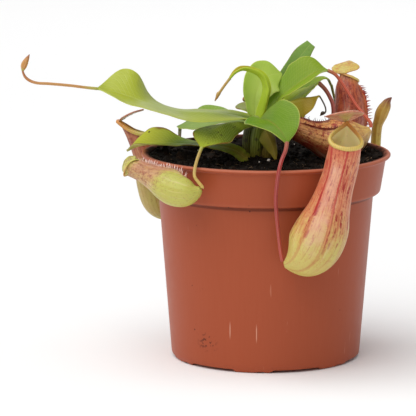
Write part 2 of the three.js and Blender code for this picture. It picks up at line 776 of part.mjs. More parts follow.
// Hairs along both wings of a pitcher.
function hairSolids(spec) {
  const { wings } = spec;
  const frames = framesAlong(smooth(spec.path, STATIONS), spec.front);
  const hairs = [];
  for (const sign of [1, -1]) {
    for (let i = 0; i < wings.spikes; i++) {
      const t = wings.from + ((wings.to - wings.from) * (i + 0.5)) / wings.spikes;
      const { point, side, face } = frames[Math.round(t * (STATIONS - 1))];
      const angle = radians(WING_ANGLE) * sign;
      const out = add(face.map((v) => v * Math.cos(angle)), side, Math.sin(angle));
      hairs.push(hairSolid(add(point, out, blend(spec.radius, t) + wings.height - 0.7), out));
    }
  }
  return hairs;
}

function potSolid() {
  const inside = (outer) => outer - WALL;
  const profile = [
    [0, PANEL_RISE],
    [FOOT_RING_INNER - 0.8, PANEL_RISE],
    [FOOT_RING_INNER, 0],
    [FOOT_RING_OUTER, 0],
    [FOOT_RING_OUTER + 0.9, 0.6],
    [BODY_FOOT_RADIUS, BODY_FOOT],
    [BODY_TOP_RADIUS, COLLAR_FOOT - 1],
    [COLLAR_FOOT_RADIUS - 0.6, COLLAR_FOOT - 0.4],
    [COLLAR_FOOT_RADIUS, COLLAR_FOOT + 0.4],
    [COLLAR_TOP_RADIUS, POT_HEIGHT - LIP_DEPTH],
    [LIP_RADIUS - 0.5, POT_HEIGHT - LIP_DEPTH + 0.3],
    [LIP_RADIUS, POT_HEIGHT - 0.8],
    [LIP_RADIUS - 0.6, POT_HEIGHT],
    [inside(COLLAR_TOP_RADIUS) + 0.7, POT_HEIGHT],
    [inside(COLLAR_TOP_RADIUS), POT_HEIGHT - 0.8],
    [inside(COLLAR_FOOT_RADIUS), COLLAR_FOOT + 1.4],
    [inside(BODY_TOP_RADIUS), COLLAR_FOOT - 0.2],
    [inside(BODY_FOOT_RADIUS), FLOOR_TOP + 1.4],
    [inside(BODY_FOOT_RADIUS) - 1.6, FLOOR_TOP],
    [0, FLOOR_TOP],
  ];
  const lathe = new THREE.LatheGeometry(profile.map((p) => new THREE.Vector2(...p)), POT_SIDES);
  lathe.rotateX(Math.PI / 2);
  let pot = solidOf(lathe);
  FOOT_ANGLES.forEach((angle, i) => {
    const next = FOOT_ANGLES[(i + 1) % FOOT_ANGLES.length] + (i + 1 === FOOT_ANGLES.length ? 360 : 0);
    const notch = new THREE.BoxGeometry(CUT_LENGTH, NOTCH_WIDTH, 2 * NOTCH_HEIGHT);
    notch.translate(FOOT_RING_OUTER, 0, 0).rotateZ(radians(angle + NOTCH_OFFSET));
    const between = radians((angle + next) / 2);
    const open = radians(next - angle) * FOOT_RING_OUTER - FOOT_WIDTH;
    const gap = new THREE.BoxGeometry(CUT_LENGTH, open, 2 * (PANEL_RISE + 0.2));
    gap.translate(FOOT_RING_OUTER + 1, 0, 0).rotateZ(between);
    const drain = new THREE.CylinderGeometry(DRAIN_RADIUS, DRAIN_RADIUS, CUT_LENGTH, 6);
    drain.rotateX(Math.PI / 2).translate(DRAIN_CIRCLE, 0, 0).rotateZ(between);
    for (const tool of [notch, gap, drain]) pot = pot.subtract(solidOf(tool));
  });
  return pot;
}

// The height of the soil: a shallow dish, a mound round the stem, a clump before it and a low swell.
function soilHeight(x, y) {
  const dish = DISH_RISE * ((x * x + y * y) / DISH_RADIUS ** 2);
  const swell = 0.4 * Math.sin(0.31 * x + 0.4) * Math.cos(0.27 * y) + 0.3 * Math.sin(0.17 * x - 0.43 * y);
  const heap = ({ x: mx, y: my, radius, height }) =>
    height * Math.exp(-((x - mx) ** 2 + (y - my) ** 2) / radius ** 2);
  return SOIL_LEVEL + dish + swell + MOUNDS.reduce((sum, mound) => sum + heap(mound), 0);
}

function soilSolid() {
  const inside = (outer) => outer - WALL - SOIL_GAP;
  const levels = [
    [inside(BODY_FOOT_RADIUS) - 1.6, FLOOR_TOP + SOIL_GAP],
    [inside(BODY_FOOT_RADIUS), FLOOR_TOP + SOIL_GAP + 1.4],
    [inside(BODY_TOP_RADIUS), COLLAR_FOOT],
    [inside(COLLAR_FOOT_RADIUS), COLLAR_FOOT + 1.6],
  ];
  const slope = (COLLAR_TOP_RADIUS - COLLAR_FOOT_RADIUS) / (POT_HEIGHT - COLLAR_FOOT);
  const ring = (radius, height) =>
    Array.from({ length: SOIL_SIDES }, (_, i) => {
      const angle = (2 * Math.PI * i) / SOIL_SIDES;
      const [x, y] = [radius * Math.sin(angle), radius * Math.cos(angle)];
      return [x, y, height ?? soilHeight(x, y)];
    });
  const brim = inside(COLLAR_FOOT_RADIUS) + slope * (SOIL_LEVEL - 2 - COLLAR_FOOT);
  const rows = levels.map(([radius, height]) => ring(radius, height));
  for (const radius of [brim, 46, 36, 27, 20, 14, 9, 5]) rows.push(ring(radius));
  return tubeOfRows(rows);
}

const ball = (radius) => {
  const geometry = new THREE.IcosahedronGeometry(radius, 1);
  geometry.translate(...CROWN);
  return solidOf(geometry);
};

function stemSolid(room = 0) {
  const radius = STEM_RADIUS + room;
  const profile = [
    [0, STEM_FOOT],
    [radius - 0.6, STEM_FOOT],
    [radius, SOIL_LEVEL - 4],
    [radius, SOIL_LEVEL + 8],
    [radius + 1.2, CROWN[2] - 2],
    [radius, CROWN[2] + 2],
    [0, CROWN[2] + 4],
  ];
  const lathe = new THREE.LatheGeometry(profile.map((p) => new THREE.Vector2(...p)), 12);
  lathe.rotateX(Math.PI / 2).translate(CROWN[0], 0, 0);
  return solidOf(lathe);
}

// What joins a leaf that starts in the crown to the stem.
function leafBase({ mid }) {
  const reach = add(mid[0], CROWN, -1);
  const length = Math.hypot(...reach);
  const base = new THREE.CylinderGeometry(BASE_RADIUS, BASE_RADIUS, length, 6);
  base.translate(0, length / 2, 0).applyQuaternion(turnTo(unit(reach)));
  base.translate(...CROWN);
  return solidOf(base);
}

const plant = new THREE.Group();

function addPiece(name, made, colour, roughness = 0.5) {
  const { numProp, vertProperties, triVerts } = made.getMesh();
  const geometry = new THREE.BufferGeometry();
  const position = new THREE.InterleavedBuffer(vertProperties, numProp);
  geometry.setAttribute("position", new THREE.InterleavedBufferAttribute(position, 3, 0));
  geometry.setIndex([...triVerts]);
  geometry.computeVertexNormals();
  const material = new THREE.MeshStandardMaterial({ color: COLOURS[colour], roughness, metalness: 0 });
  const mesh = new THREE.Mesh(geometry, material);
  mesh.name = name;
  plant.add(mesh);
}

addPiece("pot", potSolid(), "pot", 0.42);

const core = ball(CROWN_RADIUS);
const clearing = ball(CROWN_RADIUS + GAP);
const spaces = PITCHERS.map((spec) => pitcherSpace(spec));
const cutBySpaces = (made) => spaces.reduce((rest, space) => rest.subtract(space), made);
const largest = (made) => made.decompose().reduce((a, b) => (b.volume() > a.volume() ? b : a));

const hole = new THREE.CylinderGeometry(STEM_RADIUS + GAP, STEM_RADIUS + GAP, HOLE_LENGTH, 12);
hole.rotateX(Math.PI / 2).translate(CROWN[0], 0, STEM_FOOT - GAP + HOLE_LENGTH / 2);
// The space that a blade needs: the blade with a gap all round.
const bladeSpaces = LEAVES.map((spec) => {
  const pushed = (end, next) => add(end, unit(add(next, end, -1)), -GAP);
  const { mid } = spec;
  const longer = [pushed(mid[0], mid[1]), ...mid.slice(1, -1), pushed(mid.at(-1), mid.at(-2))];
  const width = spec.width.map((half) => half + GAP);
  return bladeSolid({ ...spec, mid: longer, width }, BLADE_THICKNESS + 2 * GAP);
});
const cutByBlades = (made) => bladeSpaces.reduce((rest, space) => rest.subtract(space), made);
const openSoil = cutByBlades(soilSolid().subtract(solidOf(hole)));
addPiece("soil", largest(cutBySpaces(openSoil)).simplify(0.05), "soil", 0.95);

let stem = stemSolid();
let taken = clearing.add(stemSolid(GAP));
LEAVES.forEach((spec, i) => {
  const blade = bladeSolid(spec);
  stem = stem.add(blade.intersect(core));
  if (spec.name !== ROOTED_LEAF) stem = stem.add(leafBase(spec));
  addPiece(spec.name, largest(blade.subtract(taken)), spec.colour);
  taken = taken.add(bladeSpaces[i]);
});
addPiece("stem", largest(stem).simplify(0.1), "stem", 0.6);

for (const spec of TENDRILS) {
  let cord = cordSolid(spec);
  if (spec.bud) cord = cord.add(budSolid(spec.bud));
  addPiece(spec.name, largest(cutBySpaces(cutByBlades(cord))), spec.colour);
}

for (const spec of PITCHERS) {
  const hairs = hairSolids(spec);
  const body = hairs.reduce((whole, hair) => whole.add(hair), pitcherSolid(spec));
  addPiece(spec.name, largest(body), spec.colour);
}
addPiece(POD.name, podSolid(POD), POD.colour);
for (const spec of LIDS) {
  const lid = bladeSolid({ ...spec, steps: 8 }, LID_THICKNESS);
  addPiece(spec.name, largest(cutBySpaces(lid)), spec.colour);
}

export default plant;
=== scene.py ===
"""The looks of a pitcher plant in a plastic nursery pot, built round its solid parts.

Shapes are worked out in millimetres, with +Z up and the pot's axis on Z, and become metres in the meshes.
"""

import math

import bpy
import numpy as np
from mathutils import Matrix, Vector


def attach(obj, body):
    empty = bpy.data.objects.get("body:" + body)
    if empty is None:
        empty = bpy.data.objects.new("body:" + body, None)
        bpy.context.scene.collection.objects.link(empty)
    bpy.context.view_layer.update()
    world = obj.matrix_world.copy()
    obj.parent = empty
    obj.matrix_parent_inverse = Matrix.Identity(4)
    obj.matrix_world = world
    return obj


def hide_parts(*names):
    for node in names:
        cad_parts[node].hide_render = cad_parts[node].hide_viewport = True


bl_info = {
    "name": "Potted pitcher plant",
    "version": (1, 0, 0),
    "blender": (4, 5, 0),
    "location": "3D View > Sidebar > Pitcher plant",
    "description": "Makes the leaves, pitchers, pot and peat of a potted pitcher plant",
    "category": "Add Mesh",
}

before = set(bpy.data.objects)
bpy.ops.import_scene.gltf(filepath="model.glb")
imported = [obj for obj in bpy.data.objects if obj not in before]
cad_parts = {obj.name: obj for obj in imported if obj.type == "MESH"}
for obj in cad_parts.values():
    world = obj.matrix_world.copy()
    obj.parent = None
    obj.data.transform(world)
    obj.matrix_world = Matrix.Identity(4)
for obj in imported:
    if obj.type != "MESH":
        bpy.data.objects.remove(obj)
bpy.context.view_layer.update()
MM = 0.001
TURN = 2 * math.pi

# Pot and soil
POT_HEIGHT = 99.0
LIP_RADIUS = 60.0
LIP_DEPTH = 2.0
COLLAR_TOP_RADIUS = 57.7
COLLAR_FOOT_RADIUS = 55.1
COLLAR_FOOT = 80.8
BODY_TOP_RADIUS = 51.7
BODY_FOOT_RADIUS = 45.6
BODY_FOOT = 2.6
WALL = 1.3
PANEL_RISE = 1.2
FLOOR_TOP = 2.8
FOOT_RING_INNER = 39.5
FOOT_RING_OUTER = 44.2
FOOT_ANGLES = (-152.6, -97.8, -43.3, 7.0, 57.0, 107.0, 157.0)
FOOT_WIDTH = 17.5
NOTCH_WIDTH = 3.6
NOTCH_OFFSET = 4.8
NOTCH_HEIGHT = 0.7
DRAIN_RADIUS = 4.0
DRAIN_CIRCLE = 27.0
LEAST_POT_POINTS = 10000  # a pot that keeps its wall when the drains are cut has more points than this
SOIL_LEVEL = 94.6
SOIL_CLEARANCE = 0.2  # between the peat and the pitchers that lie in or stand on it
ON_SOIL = ("pitcher_lying", "pitcher_standing")
DISH_RISE = 2.2
DISH_RADIUS = 56.0
MOUNDS = ((-4, 0, 8, 3.6), (2, -14, 5, 2))

# Marks on the pot, seen from the front: where it has rubbed on another pot, as a place across, a height and
# half a length, and where peat has splashed on to it near its foot.
SCUFFS = ((-4.2, 19.5, 1.36), (-16.7, 20.5, 1.12))
SPLASH = (-27.5, 13.5)

# Plant
FOOT_DOME = 0.08  # the rounded foot of a pitcher, as a share of its length
LEAN_FROM = 0.62  # where a pitcher starts to lean back to its mouth
FINE_STEPS = 257  # shares at which the axes of a pitcher are worked out
EVENING_PASSES = 24  # how often the rings near a pitcher's foot are evened out
CROWN = (-4.0, 2.0, 113.0)
ROOTED_LEAF = "leaf_left_low"  # the only leaf that leaves the stem low down, at this point
ROOT = (-4.0, 0.0, 95.0)
STEM_RADIUS = 4.2
STEM_FOOT = 80.0
PITCHER_WALL = 0.8
LIP_RIBS = 64
LIP_ROWS = 13
LIP_CURVE = [[-1, -0.75], [-1, 0.3], [0, 0.9], [0.8, 0.3], [0.95, -0.35]]  # (inset, lift), in lips
THROAT_END = 0.3  # how far down a pitcher its inner wall goes, as a share of its length
WING_ANGLE = 24.0
UP = [[0, 0, 1]]
LEAD_ROWS = 7  # rows of a blade between its first point and the crown
CORD_FACE = [[0.2, -1, 0.3]]
CORD_SHARE = 0.92  # the solids' tendrils have few sides, so the round ones are a little thinner

# Stage, in metres, watts and radians
FLOOR_RADIUS = 9.0
WORLD_STRENGTH = 0.4
SOFT_LIGHTS = (
    ("left strip", (-0.95, 0.25, 0.35), 0.45, 0.6),
    ("right strip", (0.95, 0.3, 0.35), 0.4, 0.3),
    ("front", (-0.25, -0.95, 0.65), 0.5, 1.6),
    ("back", (0.1, 1.6, 0.75), 0.5, 0.5),
)
LIGHT_TARGET = (0, 0, 0.09)
SUN_WAY = (0.36, 0.26, -1)
SUN_STRENGTH = 2.05
SUN_SPREAD = 70
CAMERA_PLACE = (0, -1.5, 0.3282453)
CAMERA_HEADING = -0.0186
CAMERA_FALL = 0.1695
CAMERA_LENS = 272.95

# Each leaf: its midrib, half widths, the way its upper face looks, and for each half the rise from the
# midrib and the further curl, in degrees.
LEAVES = {
    "leaf_left_long": dict(
        slot="fresh",
        mid=[
            [-7, -3, 115], [-17, -5, 117.6], [-28, -7, 119], [-40, -9, 120], [-52, -11, 122.6],
            [-62, -12, 125.8], [-71, -12, 128.8], [-80.5, -12, 131],
        ],
        width=[3.4, 5.8, 9, 11.8, 13.8, 15.2, 16.2, 17, 16, 0.6],
        face=UP,
        left=([10, -12, -18, -17, -12, -6, -4, -3, 0, 5], [0]),
        right=([40, 17, 4, -2, -3, 0, 12, 36, 38, 30], [0]),
    ),
    "leaf_left_back": dict(
        slot="grown",
        mid=[
            [-7, 4, 112.5], [-15, 12, 114.2], [-23, 21, 114.5], [-31, 30, 112.5], [-38, 39, 108.5],
            [-42.7, 47, 103.2],
        ],
        width=[3.2, 6.4, 11.2, 11.6, 8.6, 0.6],
        face=UP,
        left=([10, -15, -27, -27, -22, 0], [0, -10, -10, -10, -5, 0]),
        right=([10, -10, -8, 16, 40, 20], [0]),
    ),
    "leaf_left_low": dict(
        slot="grown",
        mid=[
            [-7.8, -5.4, 96.9], [-10.6, -7.4, 97.7], [-14.5, -7.6, 100.6], [-22, -5, 102.4],
            [-32, 0, 102.5], [-42, 5, 102], [-51, 9, 101.8], [-58, 11, 100.9], [-63, 13, 99.6],
            [-67.5, 15, 97.2],
        ],
        width=[2.8, 3.4, 4.6, 5.6, 6.2, 7.6, 9.4, 8, 0.6],
        face=[[-0.4, -1, 0.5], [0, -0.4, 1], [0, 0, 1], [0, 0, 1], [0, 0, 1], [0, 0, 1]],
        left=([0, 0, 0, 0, 0, 0, 2, 10, 0], [0]),
        right=([0, 5, 5, 5, 8, 20, 45, 44, 20], [0]),
    ),
    "leaf_front_left": dict(
        slot="grown",
        mid=[
            [-6, -4, 112.5], [-13, -11, 115], [-18, -19, 115.6], [-22.5, -26, 114], [-26.5, -32, 111.2],
            [-30.2, -38, 106.5],
        ],
        width=[3.2, 4.8, 7.2, 8.8, 9.6, 0.6],
        face=UP,
        left=([0, -20, -26, -26, -18, 0], [0, -20, -20, -10, -5, 0]),
        right=([10, -5, -14, -2, 7, 5], [0]),
    ),
    "leaf_front": dict(
        slot="fresh",
        mid=[
            [-3.5, -4, 113.8], [-0.5, -12, 116], [3, -24, 116.2], [6.1, -36, 115], [8.7, -46, 112.8],
            [9.7, -50, 110.8],
        ],
        width=[3, 6.2, 11.2, 13.6, 13, 10.2, 5.6, 0.6],
        face=UP,
        left=([55, 62, 62, 49, 35, 23, 8, 0], [0, 0, -5, -10, -5, 0, 0, 0]),
        right=([50, 20, 5, 2, 7, 10, 14, 0], [0]),
    ),
    "leaf_young": dict(
        slot="fresh",
        mid=[
            [-4.8, 1.2, 113], [-3.9, -0.2, 119.4], [-2, -2.6, 126], [-1.3, -3.4, 130.8], [-3, -4, 135.6],
            [-6.8, -4.5, 138.2], [-11.1, -5, 139.2], [-14.4, -5.6, 138], [-17.2, -6, 135.4],
        ],
        width=[4.2, 4.5, 4.5, 4.2, 3.8, 3.2, 2.6, 1.8, 0.7],
        face=[[1, -0.4, 0], [0.9, -0.3, 0.3], [0.6, -0.2, 0.8], [0, -0.2, 1]],
        left=([30], [50]),
        right=([30], [50]),
    ),
    "leaf_upright": dict(
        slot="grown",
        mid=[
            [-5.3, 4.2, 115.5], [-5.3, 5.3, 121], [-4.5, 6.5, 127], [-2, 9, 132], [2.2, 12, 134.6],
            [7.5, 15, 134.8],
        ],
        width=[3.4, 4.8, 7.2, 9, 8.6, 0.6],
        face=[[0, -1, 0.2], [0, -1, 0.3], [0, -0.9, 0.5], [-0.1, -0.8, 0.6]],
        left=([15, 12, 10, 8, 5, 0], [0, 0, 10, 10, 0, 0]),
        right=([15, 10, 5, 0, -5, 0], [0]),
    ),
    "leaf_right_upper": dict(
        slot="fresh",
        mid=[
            [0, 3.8, 113.5], [3.8, 5.9, 119], [6.8, 8.6, 124], [14.4, 9.6, 129.7], [18.8, 10.4, 132.9],
            [24.4, 11.4, 136], [29.7, 12, 137],
        ],
        width=[3, 3.6, 5, 7.2, 9.4, 11, 10.8, 0.6],
        face=[[-0.5, 0, 0.8]],
        left=([60, 58, 58, 60, 62, 60, 50, 20], [0]),
        right=([20, 5, 0, -3, -4, -4, 0, 0], [0]),
    ),
    "leaf_right_under": dict(
        slot="grown",
        mid=[
            [1.5, 5, 111], [6, 9, 117.6], [11, 11.5, 122], [16.5, 13, 125.4], [21.3, 14, 128],
            [25.3, 15, 130.6],
        ],
        width=[2.6, 4.2, 7.2, 8, 6, 0.6],
        face=[[-0.4, 0, 0.9]],
        left=([10, 15, 15, 12, 8, 0], [0]),
        right=([10, 0, -4, -6, -4, 0], [0]),
    ),
    "leaf_top": dict(
        slot="grown",
        mid=[
            [-2.6, 7.8, 115.2], [0.4, 16.8, 119.8], [4.8, 21.4, 124.6], [9, 23.6, 130.6],
            [12.6, 24.6, 136.4], [16, 25.4, 141.2], [18.9, 27, 144.8], [21.8, 28, 148],
        ],
        width=[2.4, 3.8, 4.4, 4.4, 4.2, 4, 4.2, 2.6],
        face=[[-0.2, -1, 0.3]],
        left=([10, 12, 10, 8, 5, 0], [0]),
        right=([10, 12, 10, 8, 5, 0], [0]),
    ),
    "leaf_right_brown": dict(
        slot="brown",
        mid=[
            [0.8, 0.2, 110], [5.5, 1.4, 116.4], [10.5, 2.6, 121.9], [16.3, 3.2, 124.2],
            [21.2, 3.8, 124.6], [25.6, 4.4, 125.6],
        ],
        width=[3, 5.5, 9, 9.8, 7.6, 0.6],
        face=[[-0.3, 0, 1]],
        left=([-20, -60, -84, -84, -70, 0], [0]),
        right=([-20, -50, -80, -84, -70, 0], [0]),
    ),
    "leaf_right_far": dict(
        slot="grown",
        mid=[
            [-0.4, 6.8, 111.8], [8.2, 20.8, 119.4], [17, 27, 126.4], [25, 30, 131], [29.6, 31.5, 130.8],
            [31.9, 33, 127],
        ],
        width=[2.8, 5, 7, 6.4, 3.6, 0.6],
        face=[[-0.3, -0.2, 1], [-0.3, -0.2, 1], [0.6, 0.2, 0.8]],
        left=([10, 5, 5, 0, -10, 0], [0]),
        right=([0, -22, -22, -20, -20, 0], [0]),
    ),
    "leaf_old": dict(
        slot="brown",
        mid=[[-2, -4.6, 112.4], [1, -8.8, 107.5], [3.4, -9.8, 102], [4.6, -10.6, 97]],
        width=[3.6, 5, 4.8, 3, 0.6],
        face=[[0.3, -1, 0]],
        left=([-30], [-20]),
        right=([-30], [-20]),
    ),
    "leaf_back": dict(
        slot="brown",
        mid=[[-4, 7.4, 111], [-5.6, 13, 116.6], [-8.5, 20, 118.4], [-6.5, 28, 119.4], [-2, 35, 118]],
        width=[2.2, 4, 6.6, 6, 0.6],
        face=UP,
        left=([5, 0, -8, -6, 0], [0]),
        right=([5, 0, 0, 0, 0], [0]),
    ),
}

# Each tendril: a round cord along its path, with a bud from foot to tip where it carries no pitcher.
TENDRILS = {
    "tendril_left_long": dict(
        slot="tan",
        radius=0.75,
        path=[
            [-80.5, -12, 131], [-86, -13, 131.7], [-93, -14, 132.7], [-103, -15, 133.7],
            [-108.5, -15, 134], [-112.3, -14, 135], [-114.8, -13, 137], [-115.9, -12, 140],
            [-115, -12, 142.6],
        ],
        bud=([-115.9, -12, 139.4], [-112.5, -12, 147.4], 1.55),
    ),
    "tendril_left_back": dict(
        slot="red",
        radius=0.9,
        path=[
            [-42.7, 47, 103.2], [-43, 51, 98.5], [-43.4, 53.5, 91], [-44.5, 55, 79], [-46.5, 55.5, 67],
            [-48, 54.4, 58.6], [-47.2, 52.2, 56.4], [-48.8, 50, 57.8],
        ],
    ),
    "tendril_front_left": dict(
        slot="tan",
        radius=0.85,
        path=[
            [-30.2, -38, 106.5], [-31, -42, 105], [-32.1, -48.5, 102.4], [-33, -54, 99.2], [-33, -57, 96],
            [-31.2, -57.6, 93.4], [-29.6, -57.8, 91.4], [-29.6, -58, 90.6],
        ],
    ),
    "tendril_front": dict(
        slot="red",
        radius=1.0,
        path=[
            [9.7, -50, 110.8], [9, -56, 108], [7.4, -61.5, 104.8], [6, -64, 100], [5.1, -63.5, 93.6],
            [4.6, -62, 86.3], [5, -60.5, 78.9], [6, -59.5, 69.2], [7, -59, 61], [8, -59.2, 56.6],
        ],
    ),
    "tendril_young": dict(
        slot="tan",
        radius=0.7,
        path=[
            [-17.2, -6, 135.4], [-19.6, -6.8, 132.4], [-21.8, -7.5, 129.3], [-23.2, -8, 127],
            [-24.5, -8, 124.6],
        ],
        bud=([-21.8, -7.6, 129.2], [-24, -8, 125.6], 0.95),
    ),
    "tendril_right_upper": dict(
        slot="red",
        radius=0.9,
        path=[
            [29.7, 12, 137], [33.8, 13, 134.4], [38.2, 13, 128.1], [43, 11.5, 120.8], [46.4, 10, 116.8],
            [48.8, 9, 114], [50.4, 8.4, 111.8], [50.6, 8.2, 109.8],
        ],
    ),
    "tendril_right_under": dict(
        slot="red",
        radius=1.1,
        path=[
            [25.3, 15, 130.6], [28.4, 15.8, 127.4], [30.6, 16, 123.9], [32.3, 16.6, 119.5],
            [32.4, 17.2, 113.5], [30, 19.5, 107], [27, 25, 102], [26.6, 31, 98.8], [28.4, 33.8, 97.8],
            [30.4, 33.4, 97.4],
        ],
    ),
    "tendril_right_brown": dict(
        slot="soil",
        radius=0.4,
        path=[
            [25.6, 4.4, 125.6], [27.2, 5, 122.8], [28.5, 5, 119.9], [28.6, 5, 117.8], [27.4, 5, 116.6],
            [25.8, 5, 115.8],
        ],
        bud=([28.2, 5, 117.6], [26, 5, 116], 0.9),
    ),
    "tendril_right_far": dict(
        slot="olive",
        radius=0.7,
        path=[
            [31.9, 33, 127], [33.3, 37, 121], [35.5, 43, 112.5], [40, 49, 103.5], [44.6, 51.6, 95],
            [49.5, 51.5, 85], [52.6, 49.5, 78], [54.2, 47, 76.4],
        ],
    ),
    "tendril_back": dict(
        slot="tan",
        radius=0.7,
        path=[[-2, 35, 118], [-3, 39.4, 116], [-7, 41.4, 115], [-10, 41, 116.6], [-10.6, 40, 119.6]],
        bud=([-10.5, 40.3, 117.8], [-10.2, 39.6, 121], 1.1),
    ),
}

# Each pitcher: its path from the foot up to the middle of the mouth, its radius along the path and the way
# its wings face. The mouth leans back by the tilt in degrees, is narrowed by the pinch, widened by the flare
# and sagged by the dip. The lip and the wings have their own size in mm, hairs is their number on a wing and
# hair their relative length, and turn is how far the wings wander round the pitcher.
PITCHER_FORM = dict(
    pinch=0.7, flare=0.15, dip=0, lip=0.8, wing_from=0.3, wing_to=0.95, hairs=0, hair=1.0, turn=[0])
PITCHERS = {
    "pitcher_front": dict(
        slot="pitcher",
        path=[
            [8.6, -60, 55], [13.5, -60.3, 56.3], [18.6, -60.8, 59.6], [22.7, -61.1, 64.8],
            [25.9, -61.3, 71.4], [28.5, -61.2, 79], [30.6, -61, 86], [32.3, -60.8, 92], [33.8, -60.6, 97],
            [35.4, -60.6, 104], [36.3, -60.8, 110], [37, -61, 116],
        ],
        radius=[1.4, 9.2, 12.6, 13, 12.1, 10, 8.7, 8, 7.9, 8, 8],
        front=[[-0.5, -1, 0], [-0.2, -1, 0], [0, -1, 0]],
        tilt=30, pinch=0.86, flare=0.2, lip=0.95, wing=0.4, wing_from=0.25, wing_to=1.0,
        turn=[16, 8, 0, -9, -15, -17],
    ),
    "pitcher_left_front": dict(
        slot="pale",
        path=[
            [-30.2, -58, 90.4], [-33, -57.6, 88.6], [-39.5, -56, 88.6], [-45, -53, 90.4], [-51.7, -48, 93],
            [-58, -42.5, 95.4], [-63, -38, 97],
        ],
        radius=[1.3, 5.7, 7.4, 7.7, 6.8, 5.4, 4.5, 4.2, 4.2],
        front=[[0.1, 0.5, 1], [0.1, 0.5, 1]],
        tilt=25, wing=1.3, hairs=38, hair=1.25,
    ),
    "pitcher_lying": dict(
        slot="pitcher",
        path=[
            [50.2, 8, 109], [47, 7.5, 107], [42, 6.5, 105.3], [36, 4.5, 104.3], [29.5, 2, 104.4],
            [22.5, -1, 106.8], [16.3, -3.9, 109.8], [10.8, -6.4, 112.4],
        ],
        radius=[1.4, 6.5, 9.4, 10.4, 9.8, 7.4, 6, 5.4, 5.3],
        front=[[0.2, -0.35, 1], [0.3, -0.35, 1]],
        tilt=20, wing=1.0, hairs=20, hair=1.1,
    ),
    "pitcher_standing": dict(
        slot="pitcher",
        path=[
            [31, 33, 96.4], [34, 31, 98.4], [37, 28.8, 103], [39.8, 28, 111], [40.6, 28.6, 119],
            [40, 29.4, 125.4], [40.2, 30.2, 131.4],
        ],
        radius=[1.4, 7.5, 8.8, 8.7, 8.3, 7.6, 6.8, 5.8, 4.4],
        front=[[0.9, 0.45, 0]],
        tilt=22, wing=1.3, hairs=36, hair=1.45,
    ),
    "pitcher_left_back": dict(
        slot="pitcher",
        path=[
            [-48.6, 50, 57.6], [-51.4, 49, 61.4], [-53.8, 47, 68], [-55.2, 45, 75.5], [-57, 43.5, 83],
            [-59, 43, 91], [-61.8, 43.6, 98.5], [-64.6, 45, 104.5],
        ],
        radius=[1.4, 6.4, 8.4, 8.8, 8.4, 7.4, 6.6, 6.4, 6.4],
        front=[[1, -0.2, 0]],
        tilt=42, pinch=0.6, flare=0.1, dip=3.4, lip=1.2, wing=0.8,
    ),
}
PITCHERS = {name: PITCHER_FORM | own for name, own in PITCHERS.items()}

# Each lid, given as a leaf is. left_reach narrows its left half, and wave is the height of its margin's wave.
LIDS = {
    "lid_front": dict(
        slot="pitcher",
        mid=[[37.2, -52, 121.4], [37.6, -56.4, 125], [38.6, -63, 127.2], [40, -69, 128.6]],
        width=[2.2, 9, 10.8, 8.4, 1.4],
        face=[[0.05, 0.3, 1]],
        left=([6], [-12]),
        right=([-6], [-12]),
        left_reach=0.66,
        wave=0.45,
    ),
    "lid_left_front": dict(
        slot="pale",
        mid=[[-65.8, -38.4, 93.4], [-66, -37.8, 97], [-64.4, -37, 100.6], [-61.2, -36.4, 102]],
        width=[1.4, 3.4, 4.3, 4.4, 4, 2.9, 0.9],
        face=[[-1, -0.5, 0], [-0.8, -0.5, 0.6], [-0.2, -0.4, 1]],
        left=([-10], [0]),
        right=([-10], [0]),
    ),
    "lid_lying": dict(
        slot="pitcher",
        mid=[[8.6, -7.3, 106.1], [6.4, -8.5, 107.8], [5.2, -9.7, 110.4], [5.2, -10.9, 113.4]],
        width=[1.4, 3.6, 4.5, 4.6, 4.1, 2.9, 0.9],
        face=[[-0.6, 0, -1], [-1, 0, 0]],
        left=([0], [0]),
        right=([0], [0]),
    ),
    "lid_standing": dict(
        slot="pale",
        mid=[[37, 27.4, 133.6], [37.6, 30, 135.4], [39.2, 34, 137.4], [40.8, 38, 138.2]],
        width=[1.8, 4.7, 6.6, 7.2, 6.7, 4.9, 1.2],
        face=[[-0.3, -0.7, 0.8], [-0.2, -0.4, 1]],
        left=([-6], [-8]),
        right=([-6], [-8]),
    ),
    "lid_left_back": dict(
        slot="pitcher",
        mid=[[-72.6, 46.6, 107.2], [-69.6, 46, 109.6], [-65.6, 45.6, 111.6], [-60.6, 45.6, 113]],
        width=[1.6, 4.5, 5.8, 6, 5.6, 4.1, 1],
        face=[[-0.4, 0.17, 1]],
        left=([0], [-6]),
        right=([0], [-6]),
    ),
}

LID_SPUR = [[33.4, -57, 124.8], [31, -57.2, 124.2], [28.8, -57.4, 124.1], [26.8, -57.6, 124.5]]
LID_SPUR_TONES = ((206, 140, 116), (184, 96, 80), (166, 70, 62))

POD_PATH = [
    [54.8, 46.4, 76.2], [55.4, 44.8, 78], [54.6, 43.2, 84], [54.2, 42.2, 91], [54.2, 42, 98],
    [54.7, 40.5, 105.3], [55.8, 39, 109.4], [57.1, 38.4, 113.1], [58.5, 38, 115.9], [59.7, 38, 118.4],
    [61.6, 38, 120.4],
]
POD_RADIUS = [0.8, 2, 2.4, 2.5, 2.5, 2.5, 2.5, 2.6, 3.2, 2.6, 0.3]

